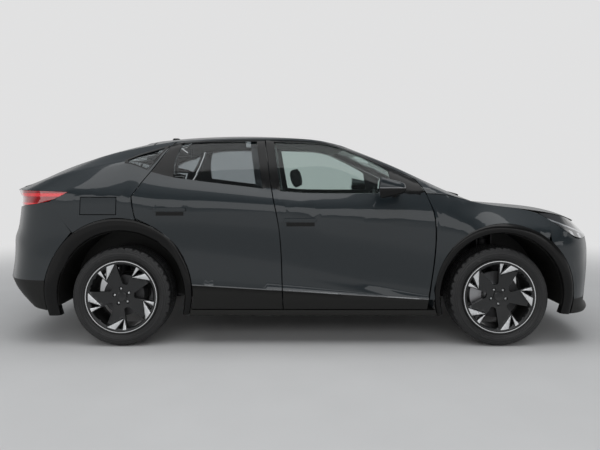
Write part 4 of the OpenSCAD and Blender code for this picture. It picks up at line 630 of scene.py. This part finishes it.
def bladeAt(x):
    (xa, za), (xb, zb) = doorLook["bladeStart"], doorLook["bladeEnd"]
    return za + (zb - za) * (x - xa) / (xb - xa)


def dressDoor(nodeName, paintedSlotShade):
    skin = skins[nodeName]
    side = 1 if nodeName.endswith("left") else -1
    (xa, za), (xb, zb) = doorLook["bladeStart"], doorLook["bladeEnd"]
    across = Vector((zb - za, 0, xa - xb)).normalized()
    for lift in (0, doorLook["bladeHeight"]):
        cutAlong(skin, (xa, 0, za + lift), across)
    outer = lambda n: n.y * side > doorLook["inner"]
    paintFaces(skin, doorTrim, lambda c, n: n.y * side < doorLook["inner"])
    paintFaces(skin, grainBlack, lambda c, n: outer(n) and c.z < bladeAt(c.x) + doorLook["cladLap"])
    paintFaces(skin, glossBlack, lambda c, n: outer(n) and c.z > beltAt(c.x) + doorLook["frameLap"])
    inBand = lambda c, n: n.y * side > 0.5 and bladeAt(c.x) < c.z < bladeAt(c.x) + doorLook["bladeHeight"]
    paintFaces(skin, brightTrim, inBand)
    selectFaces(skin, inBand)
    bpy.ops.mesh.extrude_region_shrink_fatten(TRANSFORM_OT_shrink_fatten={"value": doorLook["bladeOut"]})
    bpy.ops.object.mode_set(mode="OBJECT")
    xa, xb, za, zb = paintedSlotShade
    for x in (xa, xb):
        cutAlong(skin, (x, 0, 0), (1, 0, 0))
    for z in (za, zb):
        cutAlong(skin, (0, 0, z), (0, 0, 1))
    # handle slot: no sunk pocket, a flat rectangle under each handle bar painted black as the pocket's shade
    paintFaces(skin, glossBlack, lambda c, n: outer(n) and xa < c.x < xb and za < c.z < zb)
    bpy.ops.object.shade_smooth_by_angle(angle=panelStyle["sharp"])


for end in ("front", "rear"):
    for sideName in ("left", "right"):
        dressDoor(f"door_{end}_{sideName}", doorLook["paintedSlotShade"][end])
print("doors dressed")

# inner sides of the other panels

paintFaces(skins["roof_panel"], headliner, lambda c, n: n.z < -0.5)
paintFaces(skins["side_frames"], cabinPlastic, lambda c, n: n.y * c.y < -0.3 * abs(c.y))
paintFaces(skins["bonnet"], grainBlack, lambda c, n: n.z < -0.3)
paintFaces(skins["quarter_panels"], cabinPlastic, lambda c, n: n.y * c.y < -0.35 * abs(c.y))
paintFaces(skins["tailgate"], cabinPlastic, lambda c, n: n.z < -0.4 or n.x > 0.5)

# fin aerial at the rear of the roof

finLook = {"x": -1.11, "above": 2, "rise": 0.012, "half": (0.062, 0.009, 0.016), "tipScale": (0.35, 0.4, 1),
           "tipBack": -0.022, "edge": 0.004}


def roofFin():
    above = Vector((finLook["x"], 0, finLook["above"]))
    roofPoint = skins["roof_panel"].ray_cast(above, Vector((0, 0, -1)))[1]
    fin = blockAt("finAerial", (finLook["x"], 0, roofPoint.z + finLook["rise"]), finLook["half"])
    selectFaces(fin, lambda c, n: n.z > 0.9)
    bpy.ops.transform.resize(value=finLook["tipScale"])
    bpy.ops.transform.translate(value=(finLook["tipBack"], 0, 0))
    bpy.ops.mesh.select_all(action="SELECT")
    bpy.ops.mesh.bevel(offset=finLook["edge"], segments=3)
    bpy.ops.object.mode_set(mode="OBJECT")
    seated(fin, "body", glossBlack)


roofFin()

# windscreen with its black printed border, made wider at the sides and deeper at the top than the print as painted
# shade over the view through the glass

screenLook = {"border": 0.13, "lowEdge": 1.10, "topEdge": 1.445, "rowStep": 0.06}


def dressScreen():
    skin = skins["windscreen"]
    rowOf = lambda x: round(x / screenLook["rowStep"])
    edge = {}  # half width of the glass in each row
    for vertex in skin.data.vertices:
        row = rowOf(vertex.co.x)
        edge[row] = max(edge.get(row, 0), abs(vertex.co.y))
    nearEdge = lambda c: abs(c.y) > edge.get(rowOf(c.x), 1) - screenLook["border"]
    inGlass = lambda c: screenLook["lowEdge"] <= c.z <= screenLook["topEdge"]
    # black print along the edges; its extra width and the low top edge are painted shade over the view through the
    # glass
    paintFaces(skin, glossBlack, lambda c, n: nearEdge(c) or not inGlass(c))


dressScreen()

# mirrors: black lower shell, bright strip, silvered glass

mirrorLook = {"stripZ": (1.158, 1.166), "glassY": 0.93, "glassFacing": -0.85}
for sideName in ("left", "right"):
    shell = skins["mirror_" + sideName]
    for height in mirrorLook["stripZ"]:
        cutAlong(shell, (0, 0, height), (0, 0, 1))
    low, high = mirrorLook["stripZ"]
    paintFaces(shell, glossBlack, lambda c, n: c.z < low)
    paintFaces(shell, brightTrim, lambda c, n: low < c.z < high)
    paintFaces(shell, mirrorGlass,
               lambda c, n: n.x < mirrorLook["glassFacing"] and abs(c.y) > mirrorLook["glassY"])

# lamps: bright bands and fins on the lenses

headLook = {"edgeStart": (1.780, 0.972), "edgeEnd": (2.240, 0.806), "bandDrops": (0.020, 0.032),
            "finX": (1.99, 2.02, 2.07, 2.10, 2.15, 2.18), "finGap": 0.012, "facing": -0.2}
tailLook = {"bandZ": (1.095, 1.118), "lowBandZ": (1.035, 1.048), "facing": 0.4}


def dressHeadlamps():
    skin = skins["headlamps"]
    (xa, za), (xb, zb) = headLook["edgeStart"], headLook["edgeEnd"]
    slope = (zb - za) / (xb - xa)
    across = Vector((-slope, 0, 1)).normalized()
    first, second = headLook["bandDrops"]
    for drop in (first, second):
        cutAlong(skin, (xa, 0, za - drop), across)
    for x in headLook["finX"]:
        cutAlong(skin, (x, 0, 0), (1, 0, 0))
    below = lambda c: za + slope * (c.x - xa) - c.z
    outer = lambda n: n.x > headLook["facing"]
    paintFaces(skin, lampChrome, lambda c, n: first < below(c) < second and outer(n))
    for a, b in zip(headLook["finX"][::2], headLook["finX"][1::2]):
        onFin = lambda c: a < c.x < b and below(c) > second + headLook["finGap"]
        paintFaces(skin, lampChrome, lambda c, n: onFin(c) and outer(n))


def dressTailLamps():
    skin = skins["tail_lamps"]
    for key in ("bandZ", "lowBandZ"):
        for height in tailLook[key]:
            cutAlong(skin, (0, 0, height), (0, 0, 1))
        a, b = tailLook[key]
        paintFaces(skin, lampGlow, lambda c, n: a < c.z < b and n.x < tailLook["facing"])
    paintFaces(skin, grainBlack, lambda c, n: n.x > tailLook["facing"] or n.y * c.y < -0.3 * abs(c.y))


dressHeadlamps()
dressTailLamps()
print("screen, mirrors and lamps dressed")

# grille slats drawn out of the panel

slatLook = {"rows": (0.430, 0.457, 0.484, 0.511), "height": 0.013, "out": 0.007, "halfWidth": 0.5, "facing": 0.3}


def grilleSlats():
    skin = skins["front_grille"]
    for row in slatLook["rows"]:
        for z in (row, row + slatLook["height"]):
            cutAlong(skin, (0, 0, z), (0, 0, 1))
    inRow = lambda c: any(z < c.z < z + slatLook["height"] for z in slatLook["rows"])
    onSlat = lambda c, n: n.x > slatLook["facing"] and abs(c.y) < slatLook["halfWidth"] and inRow(c)
    paintFaces(skin, glossBlack, onSlat)
    selectFaces(skin, onSlat)
    bpy.ops.mesh.extrude_region_move(TRANSFORM_OT_translate={"value": (slatLook["out"], 0, 0)})
    bpy.ops.object.mode_set(mode="OBJECT")
    bpy.ops.object.shade_smooth_by_angle(angle=panelStyle["sharp"])


grilleSlats()

# wiper blades laid on the screen

wiperLook = {"left": (1.235, 0.30, 0.62), "right": (1.235, -0.33, 0.50), "above": 1.4, "wide": 0.020,
             "thick": 0.014, "lift": 0.001, "edge": 0.004}


def wiperBlade(sideName):
    x, y, length = wiperLook[sideName]
    bpy.ops.object.select_all(action="DESELECT")
    bpy.ops.mesh.primitive_grid_add(x_subdivisions=4, y_subdivisions=24, size=1,
                                    location=(x, y, wiperLook["above"]))
    blade = bpy.context.object
    blade.name = "wiper_" + sideName
    blade.scale = (wiperLook["wide"], length, 1)
    bpy.ops.object.transform_apply(location=True, rotation=True, scale=True)
    lay = blade.modifiers.new("lay", "SHRINKWRAP")
    lay.target = skins["windscreen"]
    lay.wrap_method = "PROJECT"
    lay.use_project_z = True
    lay.use_negative_direction = True
    lay.use_positive_direction = False
    lay.offset = wiperLook["lift"]
    bpy.ops.object.modifier_apply(modifier="lay")
    thicken(blade, wiperLook["thick"], 1)
    roundEdges(blade, wiperLook["edge"], 2)
    seated(blade, "body", grainBlack)


for sideName in ("left", "right"):
    wiperBlade(sideName)

# door armrests with pull pockets and inner handles

armLook = {"front": (0.32, 0.27), "rear": (-0.54, 0.20), "y": 0.798, "halfDeep": 0.034, "z": 0.80,
           "halfTall": 0.026, "footScale": (0.86, 1, 1), "footOut": 0.012, "edge": 0.012,
           "pocketRim": 0.009, "pocketScale": (0.5, 1, 1), "pocketDeep": 0.018}
pullLook = {"along": 0.6, "y": 0.806, "up": 0.13, "half": (0.055, 0.012, 0.012), "tipScale": (1, 0.5, 0.6),
            "edge": 0.005}


def doorArmrest(end, sideName):
    side = 1 if sideName == "left" else -1
    body = bodyOf[f"door_{end}_{sideName}"]
    x, halfLong = armLook[end]
    arm = blockAt(f"armrest_{end}_{sideName}", (x, side * armLook["y"], armLook["z"]),
                  (halfLong, armLook["halfDeep"], armLook["halfTall"]))
    selectFaces(arm, lambda c, n: n.z < -0.9)
    bpy.ops.transform.resize(value=armLook["footScale"])
    bpy.ops.transform.translate(value=(0, side * armLook["footOut"], 0))
    bpy.ops.object.mode_set(mode="OBJECT")
    roundEdges(arm, armLook["edge"])
    selectFaces(arm, lambda c, n: n.z > 0.95)
    bpy.ops.mesh.inset(thickness=armLook["pocketRim"])
    bpy.ops.transform.resize(value=armLook["pocketScale"])
    bpy.ops.mesh.extrude_region_move(TRANSFORM_OT_translate={"value": (0, 0, -armLook["pocketDeep"])})
    bpy.ops.object.mode_set(mode="OBJECT")
    seated(arm, body, cabinPlastic)
    pullAt = (x + pullLook["along"] * halfLong, side * pullLook["y"], armLook["z"] + pullLook["up"])
    pull = blockAt(f"innerHandle_{end}_{sideName}", pullAt, pullLook["half"])
    selectFaces(pull, lambda c, n: n.x < -0.9)
    bpy.ops.transform.resize(value=pullLook["tipScale"])
    bpy.ops.object.mode_set(mode="OBJECT")
    roundEdges(pull, pullLook["edge"])
    seated(pull, body, brightTrim)


for end in ("front", "rear"):
    for sideName in ("left", "right"):
        doorArmrest(end, sideName)

# dashboard screen and instrument hood

screenBlock = {"at": (0.742, 0, 1.085), "half": (0.010, 0.150, 0.080), "lean": 0.018, "edge": 0.004,
               "rim": 0.007, "sunk": 0.002, "seen": 0.138}
hoodBlock = {"at": (0.785, 0.37, 1.085), "half": (0.045, 0.125, 0.032), "topScale": (0.9, 0.72, 1),
             "edge": 0.012, "rim": 0.006, "sunk": 0.006, "seen": 0.09}


def sunkGlass(block, look):
    roundEdges(block, look["edge"])
    giveFinish(block, cabinPlastic)
    selectFaces(block, lambda c, n: n.x < -0.95)
    bpy.ops.mesh.inset(thickness=look["rim"])
    bpy.ops.transform.translate(value=(look["sunk"], 0, 0))
    bpy.ops.object.mode_set(mode="OBJECT")
    paintFaces(block, screenGlass, lambda c, n: n.x < -0.9 and abs(c.y - look["at"][1]) < look["seen"])
    seated(block, "body")


def dashScreens():
    screen = blockAt("dashScreen", screenBlock["at"], screenBlock["half"])
    selectFaces(screen, lambda c, n: n.z > 0.9)
    bpy.ops.transform.translate(value=(screenBlock["lean"], 0, 0))
    bpy.ops.object.mode_set(mode="OBJECT")
    sunkGlass(screen, screenBlock)
    hood = blockAt("instrumentHood", hoodBlock["at"], hoodBlock["half"])
    selectFaces(hood, lambda c, n: n.z > 0.9)
    bpy.ops.transform.resize(value=hoodBlock["topScale"])
    bpy.ops.object.mode_set(mode="OBJECT")
    sunkGlass(hood, hoodBlock)


dashScreens()

# boot lining: carpeted side walls with a ledge, and the load floor

bootLook = {"x": (-1.80, -1.14), "y": (0.532, 0.554), "z": (0.561, 0.900), "ledgeFrom": 0.852,
            "ledgeOut": 0.295, "edge": 0.006}
loadLook = {"x": (-2.10, -1.04), "y": (-0.531, 0.531), "z": (0.556, 0.572), "rim": 0.05, "sunk": 0.004,
            "edge": 0.004}


def bootSide(sideName):
    side = 1 if sideName == "left" else -1
    across = sorted(side * y for y in bootLook["y"])
    wall = blockBetween("bootSide_" + sideName, (bootLook["x"], across, bootLook["z"]))
    cutAlong(wall, (0, 0, bootLook["ledgeFrom"]), (0, 0, 1))
    selectFaces(wall, lambda c, n: n.y * side > 0.9 and c.z > bootLook["ledgeFrom"])
    bpy.ops.mesh.extrude_region_move(TRANSFORM_OT_translate={"value": (0, side * bootLook["ledgeOut"], 0)})
    bpy.ops.object.mode_set(mode="OBJECT")
    roundEdges(wall, bootLook["edge"], 2)
    seated(wall, "body", bootCarpet)


def bootFloor():
    mat = blockBetween("bootFloor", [loadLook[k] for k in "xyz"])
    selectFaces(mat, lambda c, n: n.z > 0.9)
    bpy.ops.mesh.inset(thickness=loadLook["rim"])
    bpy.ops.transform.translate(value=(0, 0, -loadLook["sunk"]))
    bpy.ops.object.mode_set(mode="OBJECT")
    roundEdges(mat, loadLook["edge"], 2)
    seated(mat, "body", bootCarpet)


for sideName in ("left", "right"):
    bootSide(sideName)
bootFloor()
print("grille, wipers, door and boot trim made")

# wheels: two-tone rims, tyres, hub caps

rimLook = {"lipR": (0.2565, 0.2625), "lipOut": 0.1155, "lipStep": 0.009, "coneIn": (0.044, 0.090),
           "coneOut": (0.246, 0.109), "spokeR": (0.15, 0.247), "spokeLift": 0.0013, "boltR": (0.04, 0.07),
           "boltOut": (0.085, 0.0885), "discR": 0.19, "discOut": 0.048, "barrelR": (0.2, 0.2465),
           "barrelOut": 0.082, "smooth": math.radians(30), "tyreSmooth": math.radians(32)}
capLook = {"radius": 0.036, "out": 0.091, "deep": 0.012, "rim": 0.006, "crown": 0.003, "dishRim": 0.004,
           "dish": 0.0015}


def between(value, limits):
    return limits[0] < value < limits[1]


def dressRim(rim, end, side):
    centreX = wheelLook[end + "X"]
    away = lambda c: abs(c.y) - wheelLook["track"]
    radius = lambda c: math.hypot(c.x - centreX, c.z - wheelLook["axleZ"])
    (ra, wa), (rb, wb) = rimLook["coneIn"], rimLook["coneOut"]
    cone = lambda r: wa + (wb - wa) * (r - ra) / (rb - ra)
    barrelIn, barrelOut = rimLook["barrelR"]
    onDisc = lambda c, n: away(c) < rimLook["discOut"] and radius(c) < rimLook["discR"]
    onBarrel = lambda c, n: radius(c) > barrelIn and (away(c) < rimLook["barrelOut"] or radius(c) > barrelOut)
    onLip = lambda c, n: between(radius(c), rimLook["lipR"]) and away(c) > rimLook["lipOut"]
    raised = lambda c: away(c) > cone(radius(c)) + rimLook["spokeLift"]
    onSpoke = lambda c, n: n.y * side > 0.8 and between(radius(c), rimLook["spokeR"]) and raised(c)
    onBolts = lambda c, n: (n.y * side > 0.8 and between(away(c), rimLook["boltOut"])
                            and between(radius(c), rimLook["boltR"]))
    paintFaces(rim, castGrey if end == "front" else rawSteel, onDisc)
    selectFaces(rim, lambda c, n: n.y * side > 0.9 and away(c) > rimLook["lipOut"])
    bpy.ops.mesh.inset(thickness=rimLook["lipStep"])
    bpy.ops.object.mode_set(mode="OBJECT")
    paintFaces(rim, rimBlack, onBarrel)
    for test in (onLip, onSpoke, onBolts):
        paintFaces(rim, rimSilver, test)


def hubCap(name, centreX, side, body):
    bpy.ops.object.select_all(action="DESELECT")
    place = (centreX, side * (wheelLook["track"] + capLook["out"]), wheelLook["axleZ"])
    bpy.ops.mesh.primitive_cylinder_add(vertices=40, radius=capLook["radius"], depth=capLook["deep"],
                                        rotation=(math.pi / 2, 0, 0), location=place)
    cap = bpy.context.object
    cap.name = name
    bpy.ops.object.transform_apply(location=True, rotation=True, scale=True)
    selectFaces(cap, lambda c, n: n.y * side > 0.9)
    bpy.ops.mesh.inset(thickness=capLook["rim"])
    bpy.ops.transform.translate(value=(0, side * capLook["crown"], 0))
    bpy.ops.mesh.inset(thickness=capLook["dishRim"])
    bpy.ops.transform.translate(value=(0, -side * capLook["dish"], 0))
    bpy.ops.object.mode_set(mode="OBJECT")
    seated(cap, body, rimDark)


def dressWheel(end, sideName):
    side = 1 if sideName == "left" else -1
    body = bodyOf[f"rim_{end}_{sideName}"]
    rim = looseCopy(f"rim_{end}_{sideName}", f"rim_{end}_{sideName}Skin")
    dressRim(rim, end, side)
    soloSelect(rim)
    bpy.ops.object.shade_smooth_by_angle(angle=rimLook["smooth"])
    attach(rim, body)
    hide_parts(f"rim_{end}_{sideName}")
    tyre = looseCopy(f"tyre_{end}_{sideName}", f"tyre_{end}_{sideName}Skin")
    soloSelect(tyre)
    bpy.ops.object.shade_smooth_by_angle(angle=rimLook["tyreSmooth"])
    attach(tyre, body)
    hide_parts(f"tyre_{end}_{sideName}")
    hubCap(f"hubCap_{end}_{sideName}", wheelLook[end + "X"], side, body)


for end in ("front", "rear"):
    for sideName in ("left", "right"):
        dressWheel(end, sideName)
print("wheels dressed")

# seats: filled by a short cloth run

seatFill = {"voxel": 0.013, "inset": 0.006, "evenOut": 2, "pressure": 4.0, "quality": 4, "frames": 20,
            "cap": 0.012, "pinBelow": 0.40}


def filledSeat(nodeName, pieceName, half):
    piece = looseCopy(nodeName, pieceName)
    if half:
        bpy.ops.object.mode_set(mode="EDIT")
        bpy.ops.mesh.select_all(action="SELECT")
        bpy.ops.mesh.bisect(plane_co=(0, 0, 0), plane_no=(0, 1, 0), use_fill=False, clear_inner=True,
                            clear_outer=False)
        bpy.ops.object.mode_set(mode="OBJECT")
    mesher = piece.modifiers.new("voxels", "REMESH")
    mesher.mode = "VOXEL"
    mesher.voxel_size = seatFill["voxel"]
    bpy.ops.object.modifier_apply(modifier="voxels")
    bpy.ops.object.mode_set(mode="EDIT")
    bpy.ops.mesh.select_all(action="SELECT")
    bpy.ops.mesh.vertices_smooth(factor=0.5, repeat=seatFill["evenOut"])
    bpy.ops.transform.shrink_fatten(value=-seatFill["inset"])
    bpy.ops.object.mode_set(mode="OBJECT")
    held = piece.vertex_groups.new(name="held")
    held.add([v.index for v in piece.data.vertices if v.co.z < seatFill["pinBelow"]], 1.0, "REPLACE")
    before = [v.co.copy() for v in piece.data.vertices]
    cloth = piece.modifiers.new("filling", "CLOTH")
    cloth.settings.use_pressure = True
    cloth.settings.uniform_pressure_force = seatFill["pressure"]
    cloth.settings.effector_weights.gravity = 0
    cloth.settings.quality = seatFill["quality"]
    cloth.settings.vertex_group_mass = "held"
    cloth.point_cache.frame_start = 1
    cloth.point_cache.frame_end = seatFill["frames"]
    for step in range(1, seatFill["frames"] + 1):
        bpy.context.scene.frame_set(step)
    soloSelect(piece)
    bpy.ops.object.modifier_apply(modifier="filling")
    bpy.context.scene.frame_set(1)
    for vertex, start in zip(piece.data.vertices, before):
        shift = vertex.co - start
        if shift.length > seatFill["cap"]:
            vertex.co = start + shift.normalized() * seatFill["cap"]
    piece.vertex_groups.clear()
    soften = piece.modifiers.new("soften", "SUBSURF")
    soften.levels = soften.render_levels = 1
    bpy.ops.object.modifier_apply(modifier="soften")
    if half:
        soloSelect(piece)
        bpy.ops.object.duplicate()
        twin = bpy.context.object
        bpy.ops.object.mode_set(mode="EDIT")
        bpy.ops.mesh.select_all(action="SELECT")
        bpy.ops.transform.mirror(constraint_axis=(False, True, False), center_override=(0, 0, 0))
        bpy.ops.mesh.normals_make_consistent(inside=False)
        bpy.ops.object.mode_set(mode="OBJECT")
        bpy.ops.object.select_all(action="DESELECT")
        twin.select_set(True)
        piece.select_set(True)
        bpy.context.view_layer.objects.active = piece
        bpy.ops.object.join()
    soloSelect(piece)
    bpy.ops.object.shade_smooth()
    giveFinish(piece, seatCloth)
    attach(piece, "body")
    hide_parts(nodeName)


filledSeat("front_seats", "frontSeatsFilled", True)
filledSeat("rear_bench", "rearBenchFilled", False)
print("seats filled")

low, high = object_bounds()
